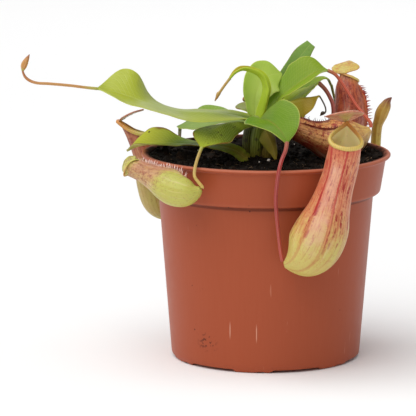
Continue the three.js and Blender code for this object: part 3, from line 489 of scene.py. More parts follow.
# The leaf stalks that clasp the stem: path, half width, and tones at the foot and at the top. The tops are
# olive green, darkened further as painted shade from the crown's leaves above.
SHEATHS = (
    dict(
        path=[[-5.4, -2.6, 94], [-5.0, -4.4, 100], [-4.4, -5.0, 107], [-3.0, -6.4, 113.6]],
        wide=2.9, foot=(120, 116, 36), top=(116, 132, 30)),
    dict(
        path=[[-0.6, -2.6, 94], [0.6, -3.8, 100], [1.0, -3.8, 107], [0.2, -3.4, 114]],
        wide=2.6, foot=(128, 106, 36), top=(136, 124, 36)),
    dict(
        path=[[-9.0, -1.4, 94.6], [-9.2, -2.6, 100], [-9.0, -3.0, 106], [-7.6, -3.4, 112.6]],
        wide=2.3, foot=(96, 84, 28), top=(88, 98, 22)),
    dict(
        path=[[-3.0, 4.2, 94], [-2.4, 5.8, 101], [-1.6, 6.4, 107], [-1.0, 6.6, 112]],
        wide=2.6, foot=(96, 90, 36), top=(110, 138, 40)),
    dict(
        path=[[-7.6, 3.8, 94], [-8.6, 5.2, 101], [-8.6, 5.6, 107], [-7.4, 5.0, 112]],
        wide=2.5, foot=(100, 86, 36), top=(120, 142, 44)),
)

# White grains in the peat: x, y and size.
GRAINS = (
    (-5.6, -13, 1.0), (-3.2, -14, 0.8), (1.2, -15.5, 1.3), (21, -30, 0.8), (-33, 22, 0.9), (14, 40, 0.9),
)


# Shapes


def unit(vectors):
    """Each vector over its own length."""
    return vectors / np.maximum(np.linalg.norm(vectors, axis=-1, keepdims=True), 1e-12)


def full_turn(count):
    """Even angles once round, in radians."""
    return np.linspace(0, 2 * np.pi, count, endpoint=False)


def read_off(at, run, values):
    """The rows of values, which stand at the places run, read in straight lines between them."""
    return np.stack([np.interp(at, run, column) for column in values.T], axis=1)


def along_curve(values, t):
    """The uniform Catmull-Rom curve through evenly spaced values, read at the shares t from 0 to 1.

    Between values b and c, with a before and d after, it is
    (2b + (c-a)f + (2a-5b+4c-d)f^2 + (3b-a-3c+d)f^3) / 2. The ends carry on in a straight line.
    """
    values = np.asarray(values, float)
    t = np.asarray(t, float)
    if len(values) == 1:
        return np.broadcast_to(values[0], t.shape + values.shape[1:]).astype(float)
    ends = np.concatenate([[2 * values[0] - values[1]], values, [2 * values[-1] - values[-2]]])
    span = np.clip(t, 0, 1) * (len(values) - 1)
    i = np.minimum(span.astype(int), len(values) - 2)
    f = (span - i).reshape(t.shape + (1,) * (values.ndim - 1))
    a, b, c, d = ends[i], ends[i + 1], ends[i + 2], ends[i + 3]
    return 0.5 * (2 * b + (c - a) * f + (2 * a - 5 * b + 4 * c - d) * f**2 + (3 * b - a - 3 * c + d) * f**3)


def even_line(points, shares):
    """Points of the curve at these shares of its own length."""
    fine = along_curve(points, np.linspace(0, 1, 800))
    run = np.concatenate([[0], np.cumsum(np.linalg.norm(np.diff(fine, axis=0), axis=1))])
    return read_off(np.asarray(shares) * run[-1], run, fine)


def axes_along(line, faces, shares):
    """The direction of travel, the side and the face at each point: the hint made square to travel."""
    ahead = np.vstack([line[1:], 2 * line[-1:] - line[-2:-1]])
    behind = np.vstack([2 * line[:1] - line[1:2], line[:-1]])
    along = unit(ahead - behind)
    hint = along_curve(faces, shares)
    face = unit(hint - along * np.sum(hint * along, axis=1, keepdims=True))
    return along, np.cross(along, face), face


def step(x, low, high):
    """0 below low, 1 above high and 3x^2 - 2x^3 between."""
    s = np.clip((x - low) / (high - low), 0, 1)
    return s * s * (3 - 2 * s)


def lumps(x, y, size, seed, octaves=3):
    """Value noise from -1 to 1: random heights on a lattice, eased between, in octaves of half the size."""
    total, share = np.zeros(np.shape(x)), 0.0
    for k in range(octaves):
        table = np.random.default_rng(seed + k).uniform(-1, 1, (64, 64))
        gx, gy = np.asarray(x) * 2**k / size + 512, np.asarray(y) * 2**k / size + 512
        ix, iy = np.floor(gx).astype(int), np.floor(gy).astype(int)
        fx, fy = step(gx - ix, 0, 1), step(gy - iy, 0, 1)
        near = table[ix % 64, iy % 64] * (1 - fx) + table[(ix + 1) % 64, iy % 64] * fx
        far = table[ix % 64, (iy + 1) % 64] * (1 - fx) + table[(ix + 1) % 64, (iy + 1) % 64] * fx
        total = total + (near * (1 - fy) + far * fy) * 0.5**k
        share += 0.5**k
    return total / share


class Skin:
    """Points in mm, the corners of the faces in a row, the size of each face, and values on both."""

    def __init__(self, points, corners, sizes, places, marks):
        self.points = points
        self.corners = corners
        self.sizes = sizes
        self.places = places
        self.marks = marks

    def __add__(self, other):
        return Skin(
            np.concatenate([self.points, other.points]),
            np.concatenate([self.corners, other.corners + len(self.points)]),
            np.concatenate([self.sizes, other.sizes]),
            np.concatenate([self.places, other.places]),
            {k: np.concatenate([v, other.marks[k]]) for k, v in self.marks.items()},
        )


def tube(rows, along, around, marks=None):
    """A closed skin over rows of points, its last column joined to its first, with a fan over each end.

    A face corner's place is (along, around), so the last column runs up to its own place and not back to 0.
    """
    count, sides = rows.shape[:2]
    grid = np.arange(count * sides).reshape(count, sides)
    following = np.roll(grid, -1, axis=1)
    quads = np.stack([grid[:-1], following[:-1], following[1:], grid[1:]], -1).reshape(-1, 4)
    u = np.broadcast_to(np.asarray(along, float)[:, None], (count, sides))
    left = np.broadcast_to(np.asarray(around, float)[:-1], (count, sides))
    right = np.broadcast_to(np.asarray(around, float)[1:], (count, sides))
    corner_u = np.stack([u[:-1], u[:-1], u[1:], u[1:]], -1).reshape(-1, 4)
    corner_v = np.stack([left[:-1], right[:-1], right[1:], left[1:]], -1).reshape(-1, 4)
    first, last = count * sides, count * sides + 1
    points = np.concatenate([rows.reshape(-1, 3), rows[0].mean(0)[None], rows[-1].mean(0)[None]])
    fans = np.concatenate([
        np.stack([np.full(sides, first), following[0], grid[0]], -1),
        np.stack([np.full(sides, last), grid[-1], following[-1]], -1),
    ])
    fan_u = np.repeat([u[0, 0], u[-1, 0]], sides)[:, None] * np.ones(3)
    middle = (left[0] + right[0]) / 2
    fan_v = np.concatenate([
        np.stack([middle, right[0], left[0]], -1),
        np.stack([middle, left[0], right[0]], -1),
    ])
    a, b, c, d = (points[quads[:, k]] for k in range(4))
    e, f, g = (points[fans[:, k]] for k in range(3))
    volume = np.sum(np.cross(a, b) * c) + np.sum(np.cross(a, c) * d) + np.sum(np.cross(e, f) * g)
    order = slice(None) if volume > 0 else slice(None, None, -1)
    corners = np.concatenate([quads[:, order].ravel(), fans[:, order].ravel()])
    places = np.stack([
        np.concatenate([corner_u[:, order].ravel(), fan_u[:, order].ravel()]),
        np.concatenate([corner_v[:, order].ravel(), fan_v[:, order].ravel()]),
    ], -1)
    sizes = np.concatenate([np.full(len(quads), 4), np.full(len(fans), 3)])
    whole = {}
    for name, value in (marks or {}).items():
        value = np.broadcast_to(value, (count, sides))
        whole[name] = np.concatenate([value.ravel(), [value[0].mean()], [value[-1].mean()]])
    return Skin(points, corners, sizes, places, whole)


def round_cord(path, radius, steps, sides, squash=1.0):
    """A tube: point + radius(t) * (side * cos a + face * squash * sin a) along the path."""
    shares = np.linspace(0, 1, steps)
    line = even_line(path, shares)
    _, side, face = axes_along(line, CORD_FACE, shares)
    angle = full_turn(sides)
    reach = along_curve(radius, shares)[:, None, None]
    ring = side[:, None] * np.cos(angle)[:, None] + face[:, None] * squash * np.sin(angle)[:, None]
    return tube(line[:, None] + reach * ring, shares, np.linspace(0, 1, sides + 1))


def blade(spec, steps, across, thickness, start=None, wave=0.0, rib=0.0, seed=1):
    """A leaf or lid as one closed skin with a thin rounded edge.

    Across a half of width w the middle surface starts at the rise angle r and turns by the curl angle c:
    at share s it lies w * (sin(r + c*s) - sin r) / c out and w * (cos r - cos(r + c*s)) / c up.
    The two faces stand off it by half the thickness times sqrt(1 - s^8), and the lower one also by a rib
    of bell shape under the midrib. start is a point that the base runs back to, and left_reach narrows the
    left half.
    """
    shares = np.linspace(0, 1, steps)
    line = even_line(spec["mid"], shares)
    lead = 0
    if start is not None:
        lead = LEAD_ROWS
        back = np.linspace(0, 1, lead + 1)[:-1, None]
        line = np.vstack([np.asarray(start, float) * (1 - back) + line[0] * back, line])
        shares = np.concatenate([np.zeros(lead), shares])
    _, side, face = axes_along(line, spec["face"], shares)
    s = np.sin(np.linspace(-0.5, 0.5, 2 * across + 1) * np.pi)
    half = np.maximum(along_curve(spec["width"], shares), 0.4)
    half[:lead] *= np.linspace(0.6, 1, lead + 1)[:-1]
    out, lift = np.zeros((2, len(shares), len(s)))
    for part, where in ((spec["left"], s < 0), (spec["right"], s >= 0)):
        rise = np.radians(along_curve(part[0], shares))[:, None]
        curl = np.radians(along_curve(part[1], shares))[:, None]
        curl = np.where(np.abs(curl) < 1e-4, 1e-3, curl)
        k = np.abs(s[where])[None]
        share = spec.get("left_reach", 1.0) if part is spec["left"] else 1.0
        out[:, where] = share * np.sign(s[where]) * (np.sin(rise + curl * k) - np.sin(rise)) / curl
        lift[:, where] = (np.cos(rise) - np.cos(rise + curl * k)) / curl
    # The midrib's two slopes meet in a soft fold, and the margin waves a little.
    fold = np.exp(-((s * half[:, None] / 1.6) ** 2))
    slope = (np.abs(lift[:, :1]) + np.abs(lift[:, -1:])) * 0.5 * np.minimum(1, 1.2 / half[:, None])
    lift = lift + 0.35 * fold * slope
    ripple = lumps(shares[:, None] * 9 + 0 * s, np.sign(s) * 3 + 0 * shares[:, None], 1.0, seed, 2)
    inner = step(shares, 0.02, 0.15) * (1 - step(shares, 0.85, 1))
    middle = (
        line[:, None]
        + side[:, None] * (half[:, None] * out)[..., None]
        + face[:, None] * (half[:, None] * lift + wave * ripple * inner[:, None] * s**4)[..., None]
    )
    normal = unit(np.cross(np.gradient(middle, axis=0), np.gradient(middle, axis=1)))
    flip = np.sign(np.sum(normal * face[:, None], axis=-1, keepdims=True))
    normal = normal * np.where(np.abs(flip) < 0.5, 1, flip[:, across : across + 1])
    stand = 0.5 * thickness * np.sqrt(np.clip(1 - s**8, 0, 1))[None]
    across_mm = s * half[:, None]
    thick = rib * (0.35 + 0.65 * (1 - shares[:, None]) ** 1.5)
    bulge = thick * np.exp(-((across_mm / (0.5 + 0.8 * thick)) ** 2)) * (1 - s**4)
    groove = 0.25 * thick * np.exp(-((across_mm / 0.6) ** 2)) * (1 - step(shares, 0.93, 1))[:, None]
    upper = middle + normal * (stand - np.minimum(groove, stand * 0.8))[..., None]
    lower = middle - normal * (stand + bulge)[..., None]
    rows = np.concatenate([upper, lower[:, -2:0:-1]], axis=1)
    around = np.concatenate([(s + 1) / 2, (s[-2:0:-1] + 1) / 2, [0]])
    top = np.concatenate([np.ones(len(s)), np.zeros(len(s) - 2)])
    return tube(rows, shares, around, {"upper": top})


def wing_angles():
    """Angles round a pitcher in degrees: even ones, and close ones on the two wings."""
    close = np.array([-4.5, -3, -2, -1.2, -0.5, 0, 0.5, 1.2, 2, 3, 4.5])
    every = np.concatenate([np.arange(0, 360, 5.0), WING_ANGLE + close, 360 - WING_ANGLE + close])
    return np.unique(every)


def pitcher_line(spec, shares):
    """A pitcher's path and its three axes, worked out at many even shares and read off at these."""
    fine = np.linspace(0, 1, FINE_STEPS)
    line = even_line(spec["path"], fine)
    axes = axes_along(line, spec["front"], fine)
    return read_off(shares, fine, line), [unit(read_off(shares, fine, a)) for a in axes]


def pitcher_rings(spec, shares, inset, degrees, winged):
    """The pitcher's wall at shares of its path, as rings of points.

    With lean rising to the tilt near the mouth, a ring reaches forward by R cos a / cos lean along the
    leaning front, and aside by R sin a, narrowed at its back by the pinch and widened by the flare. Its
    sides drop by dip sin^2 a. R is the radius, less the inset, with a thin ridge for each wing. The foot is
    rounded: there R grows from its first value r0 to R as r0 + (R - r0) (1 - (1 - t/d)^2)^(1/4).
    The columns may turn round the pitcher on their way up.
    """
    line, (along, side, face) = pitcher_line(spec, shares)
    lean = np.radians(spec["tilt"]) * step(shares, LEAN_FROM, 1)[:, None]
    ahead = face * np.cos(lean) - along * np.sin(lean)
    radius = along_curve(spec["radius"], shares)
    foot = spec["radius"][0]
    domed = foot + (radius - foot) * np.sqrt(np.clip(1 - (1 - shares / FOOT_DOME) ** 2, 0, 1)) ** 0.5
    radius = np.maximum(np.where(shares < FOOT_DOME, domed, radius)[:, None] - inset, 0.5)
    near = step(shares, 0.8, 1)[:, None]
    angle = np.radians(degrees + along_curve(spec["turn"], shares)[:, None])
    reach = radius + 0 * angle
    if winged:
        off = np.minimum(np.abs(degrees - WING_ANGLE), np.abs(degrees - 360 + WING_ANGLE))[None]
        ends = step(shares, spec["wing_from"] - 0.06, spec["wing_from"] + 0.1)
        if spec["wing_to"] < 1:
            ends = ends * (1 - step(shares, spec["wing_to"] - 0.03, spec["wing_to"] + 0.03))
        ridge = np.exp(-((off / 1.5) ** 2)) + 0.16 * np.exp(-((off / 5) ** 2))
        reach = reach + spec["wing"] * ends[:, None] * ridge
    back = (1 - np.cos(angle)) / 2
    forward = reach * np.cos(angle) / np.cos(lean)
    aside = reach * np.sin(angle) * (1 - spec["pinch"] * near * back**1.4) * (1 + spec["flare"] * near)
    drop = spec["dip"] * near * np.sin(angle) ** 2
    return (
        line[:, None]
        + ahead[:, None] * forward[..., None]
        + side[:, None] * aside[..., None]
        - along[:, None] * drop[..., None]
    )


def pitcher_skin(spec, outer=72, inner=30):
    """A pitcher: its outer wall from foot to mouth, the rolled lip, and its inner wall down to THROAT_END.

    The lip is a curve through LIP_CURVE, carried round the mouth.
    """
    degrees = wing_angles()
    start = 1 - np.cos(np.linspace(0, np.pi / 2, outer))
    up = np.concatenate([[0, 0.004, 0.01], 0.02 + 0.98 * (0.35 * start + 0.65 * np.linspace(0, 1, outer))])
    wall = pitcher_rings(spec, up, 0, degrees, True)
    # The rings crowd on the inside of the foot's bend, so the wall is evened out along its length there.
    loose = 0.5 * (1 - step(up, 0.3, 0.5))[1:-1, None, None]
    for _ in range(EVENING_PASSES):
        wall[1:-1] += loose * ((wall[:-2] + wall[2:]) / 2 - wall[1:-1])
    turns = np.linspace(0, 1, LIP_ROWS)
    lean = np.radians(spec["tilt"])
    mouth = np.ones(1)
    along, _, face = pitcher_line(spec, mouth)[1]
    opening = unit(along * np.cos(lean) + face * np.sin(lean))
    lip = np.concatenate([
        pitcher_rings(spec, mouth, inset * spec["lip"], degrees, False) + opening * (lift * spec["lip"])
        for inset, lift in along_curve(LIP_CURVE, turns)
    ])
    ribs = 0.07 * spec["lip"] * np.cos(np.radians(degrees) * LIP_RIBS)
    lip = lip + opening * (ribs * np.sin(turns * np.pi)[:, None])[..., None]
    down = np.linspace(0.98, THROAT_END, inner)
    deep = PITCHER_WALL + 2.6 * (1 - step(down, 0.28, 0.6))[:, None]
    throat = pitcher_rings(spec, down, deep, degrees, False)
    rows = np.concatenate([wall, lip, throat])
    zone = np.concatenate([np.zeros(len(wall)), np.full(LIP_ROWS, 0.5), np.ones(inner)])
    heights = np.concatenate([up, 1 + 0.05 * turns, down])
    around = np.concatenate([degrees, [360]]) / 360
    return tube(rows, heights, around, {"zone": zone[:, None], "share": heights[:, None]})


def stacks(rings):
    """Many small closed skins at once, each a stack of rings with a flat face over each end."""
    count, high, sides = rings.shape[:3]
    grid = np.arange(count * high * sides).reshape(count, high, sides)
    following = np.roll(grid, -1, axis=2)
    quads = np.stack([grid[:, 1:], grid[:, :-1], following[:, :-1], following[:, 1:]], -1).reshape(-1, 4)
    ends = np.concatenate([grid[:, 0, ::-1], grid[:, -1]])
    corners = np.concatenate([quads.ravel(), ends.ravel()])
    sizes = np.concatenate([np.full(len(quads), 4), np.full(len(ends), sides)])
    level = np.broadcast_to(np.linspace(0, 1, high)[None, :, None], grid.shape).ravel()
    return Skin(rings.reshape(-1, 3), corners, sizes, np.stack([level[corners], 0 * corners], -1), {})


def cones(feet, tips, radius, sides, bend):
    """Many slim hairs at once: from foot to tip, each a cone of three rings, bent aside at half way."""
    axis = unit(tips - feet)
    other = unit(np.cross(axis, np.array([0.31, 0.22, 0.93])))
    third = np.cross(axis, other)
    angle = full_turn(sides)
    circle = other[:, None] * np.cos(angle)[:, None] + third[:, None] * np.sin(angle)[:, None]
    middle = (feet + tips) / 2 + bend
    return stacks(np.stack([
        feet[:, None] + circle * radius,
        middle[:, None] + circle * radius * 0.6,
        tips[:, None] + circle * radius * 0.12,
    ], axis=1))


def pebbles(centres, sizes, seed, stretch=0.4):
    """Many rough lumps at once: a ball of 24 points whose radii and three axes vary at random."""
    rng = np.random.default_rng(seed)
    polar = np.radians([35, 75, 115, 150])
    turn = full_turn(6)
    ball = np.stack([
        np.sin(polar)[:, None] * np.cos(turn), np.sin(polar)[:, None] * np.sin(turn),
        np.cos(polar)[:, None] + 0 * turn,
    ], -1)
    count = len(centres)
    rough = rng.uniform(0.7, 1.15, (count, 4, 6, 1))
    axes = rng.uniform(1 - stretch, 1 + stretch, (count, 1, 1, 3))
    spin = rng.uniform(0, 2 * np.pi, count)[:, None, None]
    shape = ball[None] * rough * axes
    x, y = shape[..., 0], shape[..., 1]
    turned = [x * np.cos(spin) - y * np.sin(spin), x * np.sin(spin) + y * np.cos(spin), shape[..., 2]]
    shape = np.stack(turned, -1)
    rings = centres[:, None, None] + shape * sizes[:, None, None, None]
    return stacks(rings[:, ::-1])


def rounded(profile, radius, cuts=5):
    """The profile with each inner corner p turned into the arc (1-t)^2 a + 2t(1-t) p + t^2 b."""
    profile = np.asarray(profile, float)
    before, corner, after = profile[:-2], profile[1:-1], profile[2:]
    room = np.minimum(np.linalg.norm(before - corner, axis=1), np.linalg.norm(after - corner, axis=1)) * 0.45
    reach = np.minimum(room, radius)[:, None]
    a = corner + unit(before - corner) * reach
    b = corner + unit(after - corner) * reach
    t = np.linspace(0, 1, cuts)[None, :, None]
    arcs = (1 - t) ** 2 * a[:, None] + 2 * t * (1 - t) * corner[:, None] + t**2 * b[:, None]
    return np.vstack([profile[:1], arcs.reshape(-1, 2), profile[-1:]])


def soil_height(x, y):
    """The peat's height: a shallow dish that climbs to the wall, mounds, a swell and rough lumps."""
    out = np.hypot(x, y)
    height = SOIL_LEVEL + DISH_RISE * (out / DISH_RADIUS) ** 2
    height = height + 0.4 * np.sin(0.31 * x + 0.4) * np.cos(0.27 * y) + 0.3 * np.sin(0.17 * x - 0.43 * y)
    for mx, my, radius, rise in MOUNDS:
        height = height + rise * np.exp(-((x - mx) ** 2 + (y - my) ** 2) / radius**2)
    height = height + step(out, 46, 55.5)
    return height + 0.9 * lumps(x, y, 5.5, 11) + 0.35 * lumps(x, y, 1.6, 23, 2)


def clear_height(x, y, height):
    """The height kept clear of the pitchers that lie in or stand on the peat."""
    for name in ON_SOIL:
        spec = PITCHERS[name]
        shares = np.linspace(0, 1, 41)
        line = even_line(spec["path"], shares)
        radius = along_curve(spec["radius"], shares) + SOIL_CLEARANCE
        gap = np.hypot(np.asarray(x)[..., None] - line[:, 0], np.asarray(y)[..., None] - line[:, 1])
        under = line[:, 2] - np.sqrt(np.maximum(radius**2 - gap**2, 0))
        height = np.minimum(height, np.min(np.where(gap < radius, under, 1e3), axis=-1))
    return height


# Materials


def colour(red, green, blue):
    """An 8-bit screen colour as linear light."""
    values = np.array([red, green, blue]) / 255
    linear = np.where(values <= 0.04045, values / 12.92, ((values + 0.055) / 1.055) ** 2.4)
    return (*linear.tolist(), 1.0)


def shade(tone, share):
    """A colour at this share of its light."""
    return (*(value * share for value in tone[:3]), 1.0)


class Amount:
    """A number carried through a finish. Its operators add Math nodes."""

    def __init__(self, finish, socket):
        self.finish = finish
        self.socket = socket

    def __add__(self, other):
        return self.finish.math("ADD", self, other)

    __radd__ = __add__

    def __sub__(self, other):
        return self.finish.math("SUBTRACT", self, other)

    def __rsub__(self, other):
        return self.finish.math("SUBTRACT", other, self)

    def __mul__(self, other):
        return self.finish.math("MULTIPLY", self, other)

    __rmul__ = __mul__


class Finish:
    """One material and the nodes that give it its look. base is its colour as far as it is painted."""

    def __init__(self, name, base):
        self.base = base
        self.material = bpy.data.materials.new(name)
        self.material.use_nodes = True
        self.tree = self.material.node_tree
        self.tree.nodes.clear()
        self.kept = {}

    def node(self, kind, settings=None, inputs=None, output=0):
        """Adds a node. An output of one number comes back as an Amount."""
        made = self.tree.nodes.new(kind)
        for key, value in (settings or {}).items():
            setattr(made, key, value)
        for key, value in (inputs or {}).items():
            if isinstance(value, Amount):
                value = value.socket
            if isinstance(value, bpy.types.NodeSocket):
                self.tree.links.new(value, made.inputs[key])
            else:
                made.inputs[key].default_value = value
        socket = made.outputs[output] if len(made.outputs) else None
        return Amount(self, socket) if socket is not None and socket.type == "VALUE" else socket

    def math(self, operation, *values):
        return self.node("ShaderNodeMath", {"operation": operation}, dict(enumerate(values)))

    def once(self, key, make):
        if key not in self.kept:
            self.kept[key] = make()
        return self.kept[key]

    def spot(self):
        """Object coordinates, in metres."""
        return self.once("spot", lambda: self.node("ShaderNodeTexCoord", output="Object"))

    def place(self, axis):
        """Along the piece for axis 0 and across or around it for axis 1, each from 0 to 1."""
        uv = self.once("uv", lambda: self.node("ShaderNodeUVMap", {"uv_map": "place"}))
        return self.once(("place", axis), lambda: self.part(uv, axis))

    def mark(self, name):
        """A value that the mesh's points carry."""
        return self.once(("mark", name), lambda: self.node(
            "ShaderNodeAttribute", {"attribute_name": name}, output="Fac"))

    def part(self, vector, axis):
        return self.node("ShaderNodeSeparateXYZ", inputs={0: vector}, output=axis)

    def vector(self, x, y, z):
        return self.node("ShaderNodeCombineXYZ", inputs={0: x, 1: y, 2: z})

    def noise(self, scale, vector=None, detail=3.0, rough=0.5):
        return self.node("ShaderNodeTexNoise", inputs={
            "Vector": self.spot() if vector is None else vector,
            "Scale": scale, "Detail": detail, "Roughness": rough,
        })

    def cells(self, scale):
        """How far a point is from the middle of its nearest random cell."""
        return self.node("ShaderNodeTexVoronoi", inputs={"Vector": self.spot(), "Scale": scale})

    def rise(self, value, low, high):
        """0 below low and 1 above high, eased; the other way round where low is over high."""
        eased = {"interpolation_type": "SMOOTHSTEP"}
        return self.node("ShaderNodeMapRange", eased, {0: value, 1: low, 2: high})

    def patches(self, scale, low, high, detail=3.0, rough=0.5):
        """Noise, from 0 where it is below low to 1 where it is above high."""
        return self.rise(self.noise(scale, detail=detail, rough=rough), low, high)

    def band(self, value, middle, half, soft):
        """1 within half of the middle, easing to 0."""
        return self.rise(self.math("ABSOLUTE", value - middle), half + soft, half)

    def mix(self, share, a, b):
        """The colour a, going over to b as the share goes from 0 to 1. Three numbers are a screen colour."""
        a, b = (colour(*c) if isinstance(c, tuple) and len(c) == 3 else c for c in (a, b))
        settings = {"data_type": "RGBA", "clamp_factor": True}
        return self.node("ShaderNodeMix", settings, {0: share, 6: a, 7: b}, output=2)

    def paint(self, share, tone):
        """Lays a colour over the base, as far as the share says."""
        self.base = self.mix(share, self.base, tone)

    def bump(self, height, depth, normal=None):
        """depth is the height of a full step, in metres."""
        inputs = {"Height": height, "Strength": 1.0, "Distance": depth}
        if normal is not None:
            inputs["Normal"] = normal
        return self.node("ShaderNodeBump", inputs=inputs)

    def surface(self, **sockets):
        """Ends the finish: names such as coat_weight stand for the shader's sockets."""
        title = lambda name: name.replace("_", " ").title().replace("Ior", "IOR")
        inputs = {"Base Color": self.base} | {title(name): value for name, value in sockets.items()}
        shader = self.node("ShaderNodeBsdfPrincipled", inputs=inputs)
        self.node("ShaderNodeOutputMaterial", inputs={"Surface": shader})
        return self.material


def pot_finish(settings):
    """Moulded brown plastic: cloudiness, rubbed edges, a painted shadow under the collar, scratches, specks,
    splashed peat and an inner side painted near black.
    """
    main = tuple(settings.pot_colour) + (1.0,)
    f = Finish("moulded brown plastic", main)
    x, y, z = (f.part(f.spot(), axis) for axis in range(3))
    f.paint(f.noise(26.0, detail=4) * 0.5, shade(main, 0.86))
    upright = f.vector(f.math("ARCTAN2", x, y * -1) * 0.05, z * 0.06, 0.0)
    f.paint(f.noise(900.0, upright, 2) * 0.08, (196, 118, 88))
    # The lip's edge and the collar's foot are rubbed lighter, and a painted shadow darkens the body just
    # under the collar.
    rim = f.band(z, (POT_HEIGHT - 0.2) * MM, 0.0004, 0.0005)
    edge = rim + f.band(z, (COLLAR_FOOT + 0.6) * MM, 0.0003, 0.0006) * 0.2
    f.paint(edge * 0.3, (212, 136, 108))
    # Painted shadow: a dark band on the body just under the collar.
    groove = f.band(z, (COLLAR_FOOT - 1.1) * MM, 0.0006, 0.0008)
    f.paint(groove * 0.75, (96, 40, 24))
    stretched = f.vector(x, y, z * 0.07)
    lines = f.rise(f.noise(620.0, stretched, 1), 0.735, 0.79) * f.patches(70.0, 0.5, 0.6, detail=2)
    low = f.rise(z, 0.09, 0.03)
    f.paint(lines * low * 0.22, (226, 168, 140))
    facing = f.rise(y, -0.03, -0.04)
    for across, height, half in SCUFFS:
        mark = f.band(x, across * MM, 0.0001, 0.0002) * f.band(z, height * MM, half * MM, 0.004) * facing
        f.paint(mark * 0.5, (236, 190, 166))
    specks = f.rise(f.cells(210.0), 0.11, 0.07) * f.patches(48.0, 0.62, 0.7, detail=1)
    f.paint(specks * 0.8, (70, 34, 24))
    across, height = SPLASH
    splash = f.band(x, across * MM, 0.001, 0.005) * f.band(z, height * MM, 0.001, 0.005)
    splash = splash * f.rise(y, -0.02, -0.03) * f.patches(620.0, 0.56, 0.62, detail=2)
    f.paint(splash * 0.8, (74, 34, 24))
    # The inner side is painted near black from just under the lip down, with a ragged upper edge, and is
    # rougher there.
    dark_inner_wall = f.mark("inner") * f.rise(z + (f.noise(260.0, detail=4) - 0.5) * 0.004, 0.1012, 0.0984)
    f.paint(dark_inner_wall * 0.92, (34, 21, 15))
    normal = f.bump(f.noise(1500.0, detail=2), 0.000012)
    normal = f.bump(f.noise(60.0, stretched, 2), 0.00007, normal)
    roughness = 0.36 + 0.12 * f.noise(180.0, detail=3) + dark_inner_wall * 0.5
    return f.surface(roughness=roughness, normal=normal, specular_ior_level=0.18)


def peat_finish(settings):
    """Damp peat: near black, with browner crumbs and a rough broken surface."""
    dark = tuple(settings.peat_colour) + (1.0,)
    brown = tuple(min(1.0, c * 2.6 + 0.004) for c in dark[:3]) + (1.0,)
    f = Finish("damp peat", dark)
    crumb = f.patches(420.0, 0.52, 0.72, detail=5, rough=0.65)
    f.paint(crumb * 0.7, brown)
    f.paint(f.patches(90.0, 0.58, 0.7) * 0.4, (64, 40, 24))
    f.paint(f.patches(1600.0, 0.68, 0.8, detail=2) * 0.35, (104, 72, 52))
    normal = f.bump(f.noise(900.0, detail=5, rough=0.7), 0.0006)
    normal = f.bump(f.noise(260.0, detail=3), 0.001, normal)
    return f.surface(roughness=0.82 + 0.15 * crumb, normal=normal, specular_ior_level=0.15)


def grain_finish():
    """White volcanic grains, dusted with peat."""
    f = Finish("white grains", (236, 226, 214))
    f.paint(f.patches(900.0, 0.45, 0.7) * 0.8, (150, 112, 92))
    normal = f.bump(f.noise(2200.0, detail=3), 0.0003)
    return f.surface(roughness=0.7 + 0.2 * f.noise(500.0), normal=normal)


